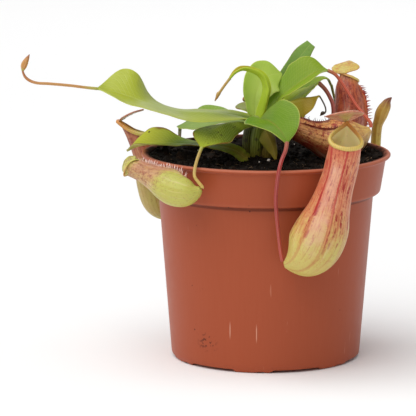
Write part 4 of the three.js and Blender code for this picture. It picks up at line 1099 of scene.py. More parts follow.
# Colours of each leaf: at its base, in its middle, at its tip, towards its left and its right margin, under
# it and along its rib. tip_from is the share of its length where the tip's colour sets in. The rest says
# how waxy its bloom is, how burnt its margin and how glossy its skin.
PLAIN_LEAF = dict(rib=(192, 202, 110), tip_from=0.55, bloom=0.0, burn=0.0, gloss=0.2)
LEAF_LOOKS = {
    "leaf_left_long": dict(
        base=(92, 112, 24), middle=(148, 164, 34), tip=(172, 182, 40), left=(178, 186, 52),
        right=(160, 172, 36), under=(158, 172, 70), gloss=0.7),
    "leaf_left_back": dict(
        base=(122, 150, 46), middle=(128, 156, 48), tip=(120, 148, 44), left=(146, 166, 96),
        right=(122, 156, 38), under=(128, 148, 84), bloom=0.15),
    "leaf_left_low": dict(
        base=(144, 124, 42), middle=(92, 120, 24), tip=(184, 186, 54), left=(124, 150, 36),
        right=(126, 154, 32), under=(178, 178, 84), burn=0.5, gloss=0.1),
    # Painted shade: this leaf is darkened to olive, all but its tip, for the shadow it droops into.
    "leaf_front_left": dict(
        base=(56, 68, 10), middle=(68, 82, 14), tip=(166, 178, 48), left=(80, 94, 18),
        right=(60, 74, 12), under=(112, 124, 42), burn=0.3,
        tip_from=0.76, rib=(96, 104, 30), gloss=0.05),
    "leaf_front": dict(
        base=(122, 144, 66), middle=(102, 138, 24), tip=(106, 140, 24), left=(118, 146, 48),
        right=(82, 130, 14), under=(138, 160, 84), rib=(150, 118, 60)),
    "leaf_young": dict(
        base=(210, 214, 80), middle=(176, 202, 42), tip=(188, 174, 50), left=(164, 194, 42),
        right=(192, 212, 58), under=(180, 202, 58)),
    "leaf_upright": dict(
        base=(190, 208, 100), middle=(182, 204, 92), tip=(168, 194, 76), left=(140, 174, 48),
        right=(186, 204, 112), under=(180, 198, 104), bloom=0.05),
    "leaf_right_upper": dict(
        base=(134, 158, 38), middle=(126, 156, 30), tip=(128, 154, 30), left=(112, 150, 24),
        right=(148, 166, 44), under=(136, 158, 60), rib=(158, 132, 62)),
    # Painted light: tones raised near full, to lift this leaf out of the shade of the leaf above it.
    "leaf_right_under": dict(
        base=(178, 186, 44), middle=(184, 202, 50), tip=(188, 204, 52), left=(176, 198, 44),
        right=(188, 204, 54), under=(188, 204, 70)),
    "leaf_top": dict(
        base=(100, 138, 44), middle=(104, 142, 50), tip=(112, 148, 54), left=(120, 152, 66),
        right=(98, 138, 42), under=(130, 150, 80), bloom=0.25, burn=0.05),
    "leaf_right_brown": dict(
        base=(160, 152, 44), middle=(158, 148, 36), tip=(164, 136, 40), left=(174, 148, 42),
        right=(150, 140, 34), under=(164, 148, 56), burn=0.2),
    "leaf_right_far": dict(
        base=(140, 172, 46), middle=(134, 172, 42), tip=(150, 176, 50), left=(130, 170, 44),
        right=(128, 162, 42), under=(150, 172, 62)),
    "leaf_old": dict(
        base=(136, 138, 46), middle=(156, 138, 48), tip=(176, 154, 54), left=(124, 112, 38),
        right=(150, 148, 48), under=(146, 130, 50), burn=0.4, rib=(206, 180, 92)),
    "leaf_back": dict(
        base=(116, 134, 44), middle=(124, 134, 42), tip=(154, 128, 54), left=(126, 136, 42),
        right=(120, 130, 42), under=(134, 136, 62), burn=0.2),
}


def leaf_finish(name, look, vein_depth):
    """A leaf: tones along and across it, a pale midrib, faint side veins, bloom, spots and a light rim."""
    look = PLAIN_LEAF | look
    tone = lambda key: colour(*look[key])
    f = Finish(name.replace("_", " "), tone("base"))
    along = f.place(0)
    s = f.place(1) * 2 - 1
    out = f.math("ABSOLUTE", s)
    f.paint(f.rise(along, 0.0, 0.4), tone("middle"))
    f.paint(f.rise(s, -0.1, -0.9) * 0.6, tone("left"))
    f.paint(f.rise(s, 0.1, 0.9) * 0.6, tone("right"))
    f.paint(f.rise(along, look["tip_from"], look["tip_from"] + 0.3), tone("tip"))
    patch = f.noise(85.0, detail=4, rough=0.6)
    f.paint(f.rise(patch, 0.45, 0.75) * 0.2, tone("tip"))
    f.paint(f.rise(patch, 0.5, 0.25) * 0.25, shade(tone("middle"), 0.62))
    # Side veins leave the midrib at a slant; long ones follow the margin.
    slant = f.math("SINE", (along * 30 - out * 5 + f.noise(60.0, detail=1) * 1.6) * TURN)
    long_veins = f.math("SINE", (out * 7 + f.noise(40.0, detail=1)) * TURN)
    veins = f.rise(slant, 0.72, 1.0) * 0.5 + f.rise(long_veins, 0.86, 1.0) * 0.4
    f.paint(veins * 0.24, (196, 208, 110))
    rib = f.rise(out, 0.045, 0.008)
    f.paint(rib * 0.4, tone("rib"))
    rim = f.rise(out, 0.955, 0.995)
    f.paint(rim * 0.6, (212, 210, 108))
    if look["burn"]:
        burnt = f.rise(out + f.noise(160.0, detail=3) * 0.45 + along * 0.12, 1.27 - 0.25 * look["burn"], 1.36)
        f.paint(burnt * 0.9, (120, 74, 34))
        spots = f.rise(f.cells(300.0), 0.2, 0.12) * f.patches(75.0, 0.5, 0.6, detail=1)
        f.paint(spots * 0.85, (44, 30, 18))
    f.paint(f.patches(30.0, 0.35, 0.7, detail=2) * look["bloom"], (150, 178, 112))
    under = f.mix(f.rise(patch, 0.35, 0.7) * 0.4, tone("under"), tone("middle"))
    under = f.mix(rib * 0.6, under, (190, 196, 112))
    f.base = f.mix(f.rise(f.mark("upper"), 0.4, 0.6), under, f.base)
    height = veins * -0.6 + f.noise(420.0, detail=3) * 0.35
    normal = f.bump(height, vein_depth)
    normal = f.bump(f.noise(55.0, detail=2), 0.0009, normal)
    roughness = 0.25 + 0.16 * f.noise(120.0, detail=3) + 0.25 * look["bloom"]
    return f.surface(
        roughness=roughness, normal=normal, specular_ior_level=look["gloss"],
        subsurface_weight=0.15, subsurface_radius=(1.0, 1.0, 0.3), subsurface_scale=0.001,
    )


# Colours of each tendril from the leaf to the pitcher.
TENDRIL_LOOKS = {
    "tendril_left_long": ((176, 178, 78), (196, 140, 74), (168, 100, 52)),
    "tendril_left_back": ((110, 132, 60), (126, 52, 40), (132, 60, 44)),
    "tendril_front_left": ((166, 178, 70), (190, 160, 84), (206, 176, 90)),
    "tendril_front": ((160, 84, 62), (158, 38, 38), (172, 60, 50)),
    "tendril_young": ((170, 158, 70), (190, 152, 74), (178, 126, 60)),
    "tendril_right_upper": ((184, 114, 70), (204, 86, 62), (202, 94, 70)),
    "tendril_right_under": ((164, 98, 70), (176, 84, 76), (166, 82, 70)),
    "tendril_right_brown": ((92, 78, 36), (44, 32, 24), (36, 26, 20)),
    "tendril_right_far": ((140, 172, 66), (184, 188, 84), (184, 164, 80)),
    "tendril_back": ((140, 132, 66), (168, 128, 74), (150, 96, 56)),
}


def tendril_finish(name, tones):
    """A tendril: its colour runs along it, with long fine ribs and freckles."""
    first, second, third = (colour(*tone) for tone in tones)
    f = Finish(name.replace("_", " "), first)
    along = f.place(0)
    f.paint(f.rise(along + f.noise(90.0) * 0.1, 0.03, 0.28), second)
    f.paint(f.rise(along, 0.55, 0.95), third)
    freckle = f.patches(700.0, 0.6, 0.72, detail=2)
    f.paint(freckle * 0.35, shade(second, 0.45))
    light = f.math("SINE", f.place(1) * (6 * TURN))
    f.paint(f.rise(light, 0.4, 1) * 0.18, (222, 190, 150))
    return f.surface(
        roughness=0.38 + 0.15 * freckle, normal=f.bump(light, 0.00005),
        subsurface_weight=0.1, subsurface_radius=(1.0, 0.5, 0.3), subsurface_scale=0.001,
        coat_weight=0.15, coat_roughness=0.2,
    )


# Colours of each pitcher: bulb, tube, the neck under its mouth, blotches, streaks along it, the wing lines,
# the lip, the throat and the half turned from the wings, with its share. low and high are the shares of its
# length between which the tube's colour comes in. The rest says how blotched and streaked it is, how strong
# the painted highlight down its front between the wings is, and how red its left flank.
PLAIN_PITCHER = dict(painted_sheen=0.0, flush=0.0)
PITCHER_LOOKS = {
    "pitcher_front": dict(
        bulb=(200, 184, 96), tube=(212, 142, 98), neck=(212, 108, 74), blotch=(184, 60, 38),
        streak=(158, 22, 16), wing=(180, 34, 26), lip=(210, 184, 96), throat=(248, 234, 176),
        low=0.2, high=0.56, blotched=0.5, streaked=1.3, painted_sheen=0.28, back=(208, 172, 98), back_share=0.35,
        flush=0.45),
    "pitcher_left_front": dict(
        bulb=(188, 186, 84), tube=(196, 150, 104), neck=(190, 172, 84), blotch=(140, 56, 44),
        streak=(138, 50, 42), wing=(196, 140, 110), lip=(196, 188, 84), throat=(160, 140, 70),
        low=0.44, high=0.62, blotched=0.8, streaked=0.2, back=(190, 178, 92), back_share=0.3),
    "pitcher_lying": dict(
        bulb=(214, 176, 96), tube=(222, 160, 92), neck=(208, 130, 76), blotch=(154, 40, 20),
        streak=(124, 22, 14), wing=(116, 24, 18), lip=(190, 116, 88), throat=(140, 84, 62),
        low=0.1, high=0.4, blotched=1.4, streaked=0.9, back=(132, 50, 32), back_share=0.8),
    "pitcher_standing": dict(
        bulb=(166, 136, 58), tube=(182, 92, 54), neck=(196, 132, 68), blotch=(130, 34, 22),
        streak=(104, 20, 14), wing=(200, 104, 54), lip=(206, 184, 96), throat=(150, 110, 60),
        low=0.25, high=0.5, blotched=1.2, streaked=0.8, back=(190, 80, 46), back_share=0.4),
    "pitcher_left_back": dict(
        bulb=(176, 164, 78), tube=(172, 98, 62), neck=(152, 76, 48), blotch=(120, 40, 28),
        streak=(132, 44, 36), wing=(160, 76, 56), lip=(186, 170, 76), throat=(176, 160, 78),
        low=0.45, high=0.8, blotched=0.85, streaked=0.3, back=(176, 124, 80), back_share=0.3),
}


def pitcher_finish(name, look):
    """A pitcher: bulb, blotched and streaked tube, pale neck, ribbed shiny lip and dull throat,
    which is painted darker further down as shade.
    """
    look = PLAIN_PITCHER | look
    tone = lambda key: colour(*look[key])
    f = Finish(name.replace("_", " "), tone("bulb"))
    share, around, zone = f.mark("share"), f.place(1), f.mark("zone")
    angle = around * TURN
    c, s = f.math("COSINE", angle), f.math("SINE", angle)
    cloud = f.noise(75.0, detail=4, rough=0.6)
    f.paint(f.rise(share + (cloud - 0.5) * 0.35, look["low"], look["high"]), tone("tube"))
    behind = f.rise(c + (cloud - 0.5) * 0.8, 0.2, -0.45) * f.rise(share, 0.02, 0.22)
    f.paint(behind * look["back_share"], tone("back"))
    f.paint(f.rise(share, 0.9, 0.985) * 0.8, tone("neck"))
    # Blotches of two sizes, more of them up the tube.
    upper = f.rise(share, look["low"] - 0.2, look["high"])
    large = f.patches(150.0, 0.48, 0.6, detail=4, rough=0.7)
    small = f.patches(520.0, 0.5, 0.6, rough=0.7)
    f.paint((large * 0.5 + small * 0.7) * upper * look["blotched"] * 0.8, tone("blotch"))
    freckles = f.patches(1300.0, 0.58, 0.68, detail=2)
    f.paint(freckles * 0.3, tone("blotch"))
    # Streaks: noise drawn out along the pitcher.
    drawn = f.vector(c, s, share * 0.7)
    fine = f.rise(f.noise(13.0, f.vector(c, s, share * 0.5), 3, 0.6), 0.51, 0.62)
    bold = f.rise(f.noise(8.0, drawn, 4, 0.6), 0.54, 0.6) * f.patches(420.0, 0.4, 0.55)
    f.paint(fine * upper * look["streaked"] * 0.5, tone("blotch"))
    f.paint(bold * upper * look["streaked"] * 0.85, tone("streak"))
    pale = f.rise(f.noise(6.0, drawn, 2), 0.58, 0.75)
    f.paint(pale * 0.3, (234, 208, 170))
    # A red flush on the left flank, beside the wing.
    flank = f.band(around, 1 - 1.7 * WING_ANGLE / 360, 0.02, 0.05) * f.rise(share, 0.35, 0.6)
    f.paint(flank * look["flush"] * f.rise(cloud, 0.25, 0.6), tone("blotch"))
    # A painted highlight down the front, between the wings.
    front = f.rise(c, 0.9, 0.99) * f.rise(share, 0.1, 0.3) * f.rise(share + cloud * 0.1, 0.98, 0.85)
    f.paint(front * look["painted_sheen"] * f.rise(cloud, 0.3, 0.55), (240, 204, 184))
    # The two wing lines.
    turned = f.math("ABSOLUTE", f.math("ABSOLUTE", around - 0.5) - (0.5 - WING_ANGLE / 360))
    rough_edge = (f.noise(700.0, detail=4, rough=0.7) - 0.5) * 0.022
    wing = f.rise(turned + rough_edge - f.rise(share, 0.75, 0.35) * 0.003, 0.015, 0.002)
    f.paint(wing * (0.3 + 0.6 * f.rise(share, 0.25, 0.7)), tone("wing"))
    # Lip, and throat with painted shade that deepens further down.
    ribs = f.math("SINE", angle * LIP_RIBS)
    lip = f.mix(f.rise(ribs, 0.2, 1) * 0.35, tone("lip"), shade(tone("lip"), 0.6))
    lip = f.mix(f.rise(c, 0.3, -0.8) * 0.6, lip, (206, 112, 56))
    # Painted shade: the throat darkens to about a third of its colour further down.
    throat = f.mix(f.rise(share, 0.8, 0.4), tone("throat"), shade(tone("throat"), 0.35))
    throat = f.mix(f.patches(420.0, 0.62, 0.74, detail=2) * 0.3, throat, tone("blotch"))
    f.paint(f.rise(zone, 0.2, 0.4), lip)
    f.paint(f.rise(zone, 0.7, 0.9), throat)
    long_ribs = f.math("SINE", angle * 22 + f.noise(60.0) * 2)
    height = f.noise(600.0, detail=3) * 0.5 + long_ribs * 0.3 * f.rise(zone, 0.3, 0.1)
    normal = f.bump(height, 0.00016)
    normal = f.bump(f.noise(90.0, detail=2), 0.0006, normal)
    return f.surface(
        roughness=0.42 - 0.14 * f.band(zone, 0.5, 0.15, 0.1) + 0.12 * cloud, normal=normal,
        subsurface_weight=0.22, subsurface_radius=(1.0, 0.5, 0.25), subsurface_scale=0.0015,
        coat_weight=0.1, coat_roughness=0.22,
    )


LID_LOOKS = {
    "lid_front": ((212, 160, 128), (214, 156, 120), (176, 72, 60)),
    "lid_left_front": ((188, 184, 84), (180, 174, 80), (120, 48, 38)),
    "lid_lying": ((184, 120, 92), (172, 110, 82), (120, 40, 34)),
    "lid_standing": ((212, 190, 92), (206, 182, 90), (190, 84, 50)),
    "lid_left_back": ((186, 116, 84), (186, 164, 86), (136, 56, 42)),
}


def lid_finish(name, tones):
    """A lid: mottled above, paler below, with a red rim and forked veins."""
    top, under, red = tones
    f = Finish(name.replace("_", " "), under)
    along, out = f.place(0), f.math("ABSOLUTE", f.place(1) * 2 - 1)
    f.paint(f.rise(f.mark("upper"), 0.4, 0.6), top)
    speckle = f.patches(650.0, 0.5, 0.64, detail=4, rough=0.7)
    f.paint(speckle * 0.6, red)
    f.paint(f.patches(260.0, 0.5, 0.62, detail=4, rough=0.7) * 0.5, red)
    f.paint(f.patches(140.0, 0.5, 0.25) * 0.45, (228, 206, 150))
    # Paler by the neck, where the lid grows from.
    f.paint(f.rise(out, 0.6, 0.15) * f.rise(along, 0.75, 0.2) * 0.75, (204, 188, 104))
    fork = f.math("SINE", (along * 5 - out * 2.2) * TURN)
    f.paint(f.rise(fork, 0.8, 1.0) * 0.3, red)
    f.paint(f.rise(out, 0.9, 0.99) * 0.5, red)
    normal = f.bump(fork * 0.4 + f.noise(500.0, detail=3), 0.00015)
    return f.surface(
        roughness=0.4 + 0.15 * speckle, normal=normal,
        subsurface_weight=0.2, subsurface_radius=(1.0, 0.6, 0.3), subsurface_scale=0.001,
        coat_weight=0.15, coat_roughness=0.25,
    )


def pod_finish():
    """The unopened pitcher: olive and furry, rust brown at its tip, with fine ribs."""
    f = Finish("unopened pitcher", (176, 156, 58))
    along = f.place(0)
    f.paint(f.rise(along + f.noise(120.0) * 0.2, 0.5, 0.85), (186, 146, 58))
    f.paint(f.rise(along + f.noise(200.0) * 0.08, 0.9, 1.0), (118, 44, 34))
    f.paint(f.rise(along, 0.2, 0.02), (150, 96, 58))
    ribs = f.math("SINE", f.place(1) * (8 * TURN))
    f.paint(f.rise(ribs, 0.3, 1) * 0.3, (206, 184, 92))
    f.paint(f.patches(600.0, 0.52, 0.66, detail=4) * 0.3, (140, 88, 44))
    normal = f.bump(ribs * 0.5 + f.noise(900.0, detail=2), 0.0002)
    return f.surface(
        roughness=0.5 + 0.15 * f.noise(300.0), normal=normal,
        subsurface_weight=0.1, subsurface_radius=(1.0, 0.6, 0.3), subsurface_scale=0.001,
    )


def stem_finish():
    """The short stem: olive green bark, brown and cracked at its foot, with leaf scars."""
    f = Finish("stem bark", (96, 72, 40))
    z = f.part(f.spot(), 2)
    f.paint(f.rise(z + f.noise(160.0) * 0.006, 0.101, 0.116), (134, 148, 62))
    f.paint(f.patches(420.0, 0.5, 0.68, detail=4) * 0.6, (58, 40, 26))
    scars = f.math("SINE", z * 2400 + f.noise(120.0) * 5)
    normal = f.bump(scars * 0.5 + f.noise(700.0, detail=3), 0.0004)
    return f.surface(roughness=0.6 + 0.2 * f.noise(300.0), normal=normal)


def sheath_finish(order, foot, top):
    """A clasping leaf stalk: brown and spotted below, green above, with fine light ribs along it."""
    f = Finish(f"leaf sheath {order}", foot)
    along = f.place(0)
    height = along + (f.noise(150.0, detail=3) - 0.5) * 0.5
    f.paint(f.rise(height, 0.15, 0.7), top)
    ribs = f.math("SINE", f.place(1) * (14 * TURN) + f.noise(90.0) * 2)
    f.paint(f.rise(ribs, 0.5, 1) * 0.25, (184, 176, 84))
    f.paint(f.patches(380.0, 0.55, 0.66, detail=4) * 0.6, (56, 40, 22))
    return f.surface(
        roughness=0.35 + 0.2 * f.noise(200.0), normal=f.bump(ribs, 0.0001),
        subsurface_weight=0.08, subsurface_radius=(1.0, 1.0, 0.4), subsurface_scale=0.001,
    )


def hair_finish(name, foot, tip):
    """Fringe hairs: the wing's colour at the foot, another at the tip."""
    f = Finish(name, foot)
    f.paint(f.rise(f.place(0), 0.05, 0.7), tip)
    f.paint(f.patches(900.0, 0.5, 0.7) * 0.3, foot)
    return f.surface(roughness=0.45 + 0.2 * f.noise(900.0))


def floor_finish():
    """Pale matt paper."""
    f = Finish("pale paper", (0.97, 0.97, 0.97, 1))
    f.paint(f.noise(6.0, detail=2) * 0.3, (0.95, 0.95, 0.952, 1))
    return f.surface(roughness=0.9 + 0.05 * f.noise(20.0), specular_ior_level=0.1)


# Pieces


def build_piece(name, skin, finish, replaces=(), sharp=None):
    """Puts a skin into a mesh at the origin, in metres, hangs it on the root body and hides the parts it
    replaces.
    """
    mesh = bpy.data.meshes.new(name)
    mesh.vertices.add(len(skin.points))
    mesh.vertices.foreach_set("co", (skin.points * MM).astype(np.float32).ravel())
    mesh.loops.add(len(skin.corners))
    mesh.loops.foreach_set("vertex_index", skin.corners.astype(np.int32))
    mesh.polygons.add(len(skin.sizes))
    starts = np.concatenate([[0], np.cumsum(skin.sizes)[:-1]])
    mesh.polygons.foreach_set("loop_start", starts.astype(np.int32))
    mesh.polygons.foreach_set("use_smooth", np.ones(len(skin.sizes), bool))
    layer = mesh.uv_layers.new(name="place")
    mesh.update(calc_edges=True)
    layer.data.foreach_set("uv", skin.places.astype(np.float32).ravel())
    for key, values in skin.marks.items():
        mark = mesh.attributes.new(key, "FLOAT", "POINT")
        mark.data.foreach_set("value", values.astype(np.float32))
    if mesh.validate():
        raise RuntimeError(f"{name}: the mesh had faulty faces")
    if sharp is not None:
        mesh.set_sharp_from_angle(angle=math.radians(sharp))
    mesh.materials.append(finish)
    piece = bpy.data.objects.new(name, mesh)
    bpy.context.scene.collection.objects.link(piece)
    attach(piece, "root")
    if replaces:
        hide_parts(*replaces)
    return piece


def pot_skin(columns=288):
    """The pot: a profile turned round Z, its foot ring lifted between the feet and at their notches."""
    inside = lambda outer: outer - WALL
    profile = rounded([
        [0.4, PANEL_RISE],
        [FOOT_RING_INNER - 0.8, PANEL_RISE],
        [FOOT_RING_INNER, 0],
        [FOOT_RING_OUTER, 0],
        [FOOT_RING_OUTER + 0.9, 0.6],
        [BODY_FOOT_RADIUS, BODY_FOOT],
        [BODY_TOP_RADIUS, COLLAR_FOOT - 1],
        [COLLAR_FOOT_RADIUS - 0.6, COLLAR_FOOT - 0.4],
        [COLLAR_FOOT_RADIUS, COLLAR_FOOT + 0.4],
        [COLLAR_TOP_RADIUS, POT_HEIGHT - LIP_DEPTH],
        [LIP_RADIUS - 0.5, POT_HEIGHT - LIP_DEPTH + 0.3],
        [LIP_RADIUS, POT_HEIGHT - 0.8],
        [LIP_RADIUS - 0.6, POT_HEIGHT],
        [inside(COLLAR_TOP_RADIUS) + 0.7, POT_HEIGHT],
        [inside(COLLAR_TOP_RADIUS), POT_HEIGHT - 0.8],
        [inside(COLLAR_FOOT_RADIUS), COLLAR_FOOT + 1.4],
        [inside(BODY_TOP_RADIUS), COLLAR_FOOT - 0.2],
        [inside(BODY_FOOT_RADIUS), FLOOR_TOP + 1.4],
        [inside(BODY_FOOT_RADIUS) - 1.6, FLOOR_TOP],
        [0.4, FLOOR_TOP],
    ], 0.9)
    # Long runs of wall get rows of their own, so that faces stay near square.
    gaps = np.linalg.norm(np.diff(profile, axis=0), axis=1)
    run = np.concatenate([[0], np.cumsum(gaps)])
    extra = np.concatenate([np.linspace(a, b, int((b - a) / 4) + 2)[1:-1] for a, b in zip(run[:-1], run[1:])])
    at = np.sort(np.concatenate([run, extra]))
    profile = read_off(at, run, profile)
    angle = full_turn(columns)
    radius = np.broadcast_to(profile[:, :1], (len(profile), columns))
    height = np.broadcast_to(profile[:, 1:], (len(profile), columns)).copy()
    feet = np.array(FOOT_ANGLES)[:, None]
    # How far each column is from the nearest of these angles, along the foot ring.
    away = lambda centres: np.min(np.abs((np.degrees(angle) - centres + 180) % 360 - 180), axis=0)
    off = np.radians(away(feet)) * FOOT_RING_OUTER
    notch = np.radians(away(feet + NOTCH_OFFSET)) * FOOT_RING_OUTER
    lift = (PANEL_RISE + 0.2) * step(off, FOOT_WIDTH / 2 - 0.3, FOOT_WIDTH / 2 + 0.6)
    lift = np.maximum(lift, NOTCH_HEIGHT * (1 - step(notch, NOTCH_WIDTH / 2 - 0.4, NOTCH_WIDTH / 2 + 0.4)))
    ring = (profile[:, 0] > FOOT_RING_INNER - 0.9) & (profile[:, 1] < BODY_FOOT)
    height[ring] = np.maximum(height[ring], lift)
    rows = np.stack([radius * np.cos(angle), radius * np.sin(angle), height], -1)
    inner = np.arange(len(profile)) > np.argmax(profile[:, 1] >= POT_HEIGHT - 1e-6)
    around = np.linspace(0, 1, columns + 1)
    return tube(rows, at / run[-1], around, {"inner": inner[:, None] * np.ones(columns)})


def drain_cutter():
    """Seven upright cylinders where the drains go through the floor."""
    nexts = np.array(FOOT_ANGLES[1:] + (FOOT_ANGLES[0] + 360,))
    between = np.radians((np.array(FOOT_ANGLES) + nexts) / 2)
    angle = full_turn(32)
    holes = []
    for turn in between:
        x = DRAIN_CIRCLE * np.cos(turn) + DRAIN_RADIUS * np.cos(angle)
        y = DRAIN_CIRCLE * np.sin(turn) + DRAIN_RADIUS * np.sin(angle)
        rows = np.stack([np.stack([x, y, 0 * x + z], -1) for z in (-4.0, 8.0)])
        holes.append(tube(rows, [0, 1], np.linspace(0, 1, 33)))
    return sum(holes[1:], holes[0])


class PotSettings(bpy.types.PropertyGroup):
    """The pot and what fills it."""

    pot_colour: bpy.props.FloatVectorProperty(
        name="Pot colour", description="Colour of the moulded plastic", subtype="COLOR", size=3,
        min=0, max=1, default=colour(165, 78, 48)[:3])
    peat_colour: bpy.props.FloatVectorProperty(
        name="Peat colour", description="Colour of the damp peat", subtype="COLOR", size=3,
        min=0, max=1, default=colour(22, 14, 8)[:3])
    crumbs: bpy.props.IntProperty(
        name="Crumbs", description="How many loose crumbs lie on the peat", default=1500, min=0, max=5000)
    crumb_size: bpy.props.FloatProperty(
        name="Crumb size", description="Half the width of a middling crumb", default=0.0007, unit="LENGTH")
    fibres: bpy.props.IntProperty(
        name="Fibres", description="How many strands of fibre lie on the peat", default=110, min=0, max=600)


class PlantSettings(bpy.types.PropertyGroup):
    """The leaves, tendrils and pitchers."""

    leaf_thickness: bpy.props.FloatProperty(
        name="Leaf thickness", description="Thickness of a leaf between its veins", default=0.0007,
        unit="LENGTH")
    margin_wave: bpy.props.FloatProperty(
        name="Margin wave", description="How far a leaf's margin waves up and down", default=0.0004,
        unit="LENGTH")
    vein_depth: bpy.props.FloatProperty(
        name="Vein depth", description="Relief of the fine veins", default=0.00012, unit="LENGTH")
    hair_length: bpy.props.FloatProperty(
        name="Hair length", description="Length of the longest hair on a wing", default=0.0024, unit="LENGTH")


class PLANT_OT_make_pot(bpy.types.Operator):
    """Make the pot, with its feet and drains"""

    bl_idname = "plant.make_pot"
    bl_label = "Pot"

    def execute(self, context):
        finish = pot_finish(context.scene.pot_settings)
        pot = build_piece("pot_shell", pot_skin(), finish, ["pot"])
        cutter_mesh = bpy.data.meshes.new("drains")
        cutter = drain_cutter()
        faces = np.split(cutter.corners, np.cumsum(cutter.sizes)[:-1])
        cutter_mesh.from_pydata(cutter.points * MM, [], [face.tolist() for face in faces])
        tool = bpy.data.objects.new("drains", cutter_mesh)
        context.scene.collection.objects.link(tool)
        cut = pot.modifiers.new("drains", "BOOLEAN")
        cut.operation = "DIFFERENCE"
        cut.solver = "EXACT"
        cut.object = tool
        evaluated = pot.evaluated_get(context.evaluated_depsgraph_get())
        whole = bpy.data.meshes.new_from_object(evaluated)
        pot.modifiers.remove(cut)
        pot.data = whole
        whole.set_sharp_from_angle(angle=math.radians(50))
        bpy.data.objects.remove(tool)
        if len(whole.vertices) < LEAST_POT_POINTS:
            raise RuntimeError("the pot lost its wall when its drains were cut")
        return {"FINISHED"}


class PLANT_OT_make_soil(bpy.types.Operator):
    """Make the peat, its crumbs, fibres and white grains"""

    bl_idname = "plant.make_soil"
    bl_label = "Peat"

    def execute(self, context):
        settings = context.scene.pot_settings
        peat = peat_finish(settings)
        build_piece("peat_bed", self.bed(), peat, ["soil"])
        rng = np.random.default_rng(5)
        out = 55.0 * np.sqrt(rng.uniform(0.01, 1, settings.crumbs))
        turn = rng.uniform(0, 2 * np.pi, settings.crumbs)
        x, y = out * np.cos(turn), out * np.sin(turn)
        size = settings.crumb_size / MM * np.exp(rng.normal(0, 0.45, settings.crumbs))
        z = clear_height(x, y, soil_height(x, y)) + size * 0.25
        low = z < SOIL_LEVEL - 1.2
        centres = np.stack([x, y, z], -1)[~low]
        build_piece("peat_crumbs", pebbles(centres, size[~low], seed=8), peat, sharp=30)
        grains = np.array(GRAINS)
        level = soil_height(grains[:, 0], grains[:, 1]) + grains[:, 2] * 0.3
        centres = np.stack([grains[:, 0], grains[:, 1], level], -1)
        grains = pebbles(centres, grains[:, 2] * 0.5, seed=4, stretch=0.3)
        build_piece("white_grains", grains, grain_finish(), sharp=30)
        fibre = hair_finish("peat fibre", (96, 70, 46), (140, 108, 74))
        build_piece("peat_fibres", self.fibres(settings.fibres), fibre)
        return {"FINISHED"}

    def bed(self, columns=240):
        """Rows from the underside's middle up the side and in over the top, the top at the soil's height."""
        inside = lambda outer: outer - WALL - 0.12
        under = FLOOR_TOP + 0.15
        side = np.array([
            [0.5, under],
            [12, under],
            [24, under],
            [34, under],
            [inside(BODY_FOOT_RADIUS) - 2.0, under],
            [inside(BODY_FOOT_RADIUS) - 0.2, FLOOR_TOP + 2.4],
            [inside(BODY_TOP_RADIUS) - 0.1, COLLAR_FOOT - 0.2],
            [inside(COLLAR_FOOT_RADIUS) - 0.1, COLLAR_FOOT + 1.7],
            [inside(COLLAR_FOOT_RADIUS) + 1.2, SOIL_LEVEL - 2],
        ])
        angle = full_turn(columns)
        brim = inside(COLLAR_TOP_RADIUS) - 0.3
        top = brim * np.linspace(1, 0.01, 84)
        radius = np.concatenate([side[:, 0], top])[:, None] + 0 * angle
        x, y = radius * np.cos(angle), radius * np.sin(angle)
        height = clear_height(x, y, soil_height(x, y))
        height[: len(side)] = side[:, 1:]
        rows = np.stack([x, y, height], -1)
        return tube(rows, np.linspace(0, 1, len(radius)), np.linspace(0, 1, columns + 1))

    def fibres(self, count):
        """Short bent strands on the peat, as slim double cones."""
        rng = np.random.default_rng(31)
        out = 52 * np.sqrt(rng.uniform(0.02, 1, count))
        turn, way = rng.uniform(0, 2 * np.pi, (2, count))
        x, y = out * np.cos(turn), out * np.sin(turn)
        reach = rng.uniform(1.5, 5, count)
        dx, dy = reach * np.cos(way), reach * np.sin(way)
        inside = np.hypot(x + dx, y + dy) < 54
        x, y, dx, dy = (v[inside] for v in (x, y, dx, dy))
        level = lambda px, py: clear_height(px, py, soil_height(px, py)) + 0.15
        feet = np.stack([x, y, level(x, y)], -1)
        tips = np.stack([x + dx, y + dy, level(x + dx, y + dy) + rng.uniform(0, 0.8, len(x))], -1)
        bend = rng.normal(0, 0.35, (len(x), 3)) + np.array([0, 0, 0.35])
        return cones(feet, tips, radius=0.14, sides=4, bend=bend)


class PLANT_OT_make_stem(bpy.types.Operator):
    """Make the short stem in the middle of the crown"""

    bl_idname = "plant.make_stem"
    bl_label = "Stem"

    def execute(self, context):
        rows, columns = 90, 48
        angle = full_turn(columns)
        top = CROWN[2] + 4
        z = np.linspace(STEM_FOOT, top, rows)[:, None] + 0 * angle
        # A knobbly round stem that ends in a small dome.
        dome = np.sqrt(np.clip((top + 0.01 - z) / 4, 0, 1))
        knob = 0.45 * lumps(angle * 3.2 + 0 * z, z * 0.45, 1.0, 17, 2)
        knob = knob * (1 - step(np.abs(angle - np.pi), 2.2, 3.0))
        radius = (STEM_RADIUS + 1.1 * step(z, 104, 111) + knob) * dome + 0.05
        points = np.stack([CROWN[0] + radius * np.cos(angle), radius * np.sin(angle), z], -1)
        skin = tube(points, np.linspace(0, 1, rows), np.linspace(0, 1, columns + 1))
        build_piece("stem_bark", skin, stem_finish(), ["stem"])
        for order, sheath in enumerate(SHEATHS, 1):
            thickness = [sheath["wide"] * share for share in (0.7, 0.95, 1, 1, 0.9)]
            cord = round_cord(sheath["path"], thickness, steps=60, sides=24, squash=0.7)
            finish = sheath_finish(order, sheath["foot"], sheath["top"])
            build_piece(f"leaf_sheath_{order}", cord, finish)
        return {"FINISHED"}


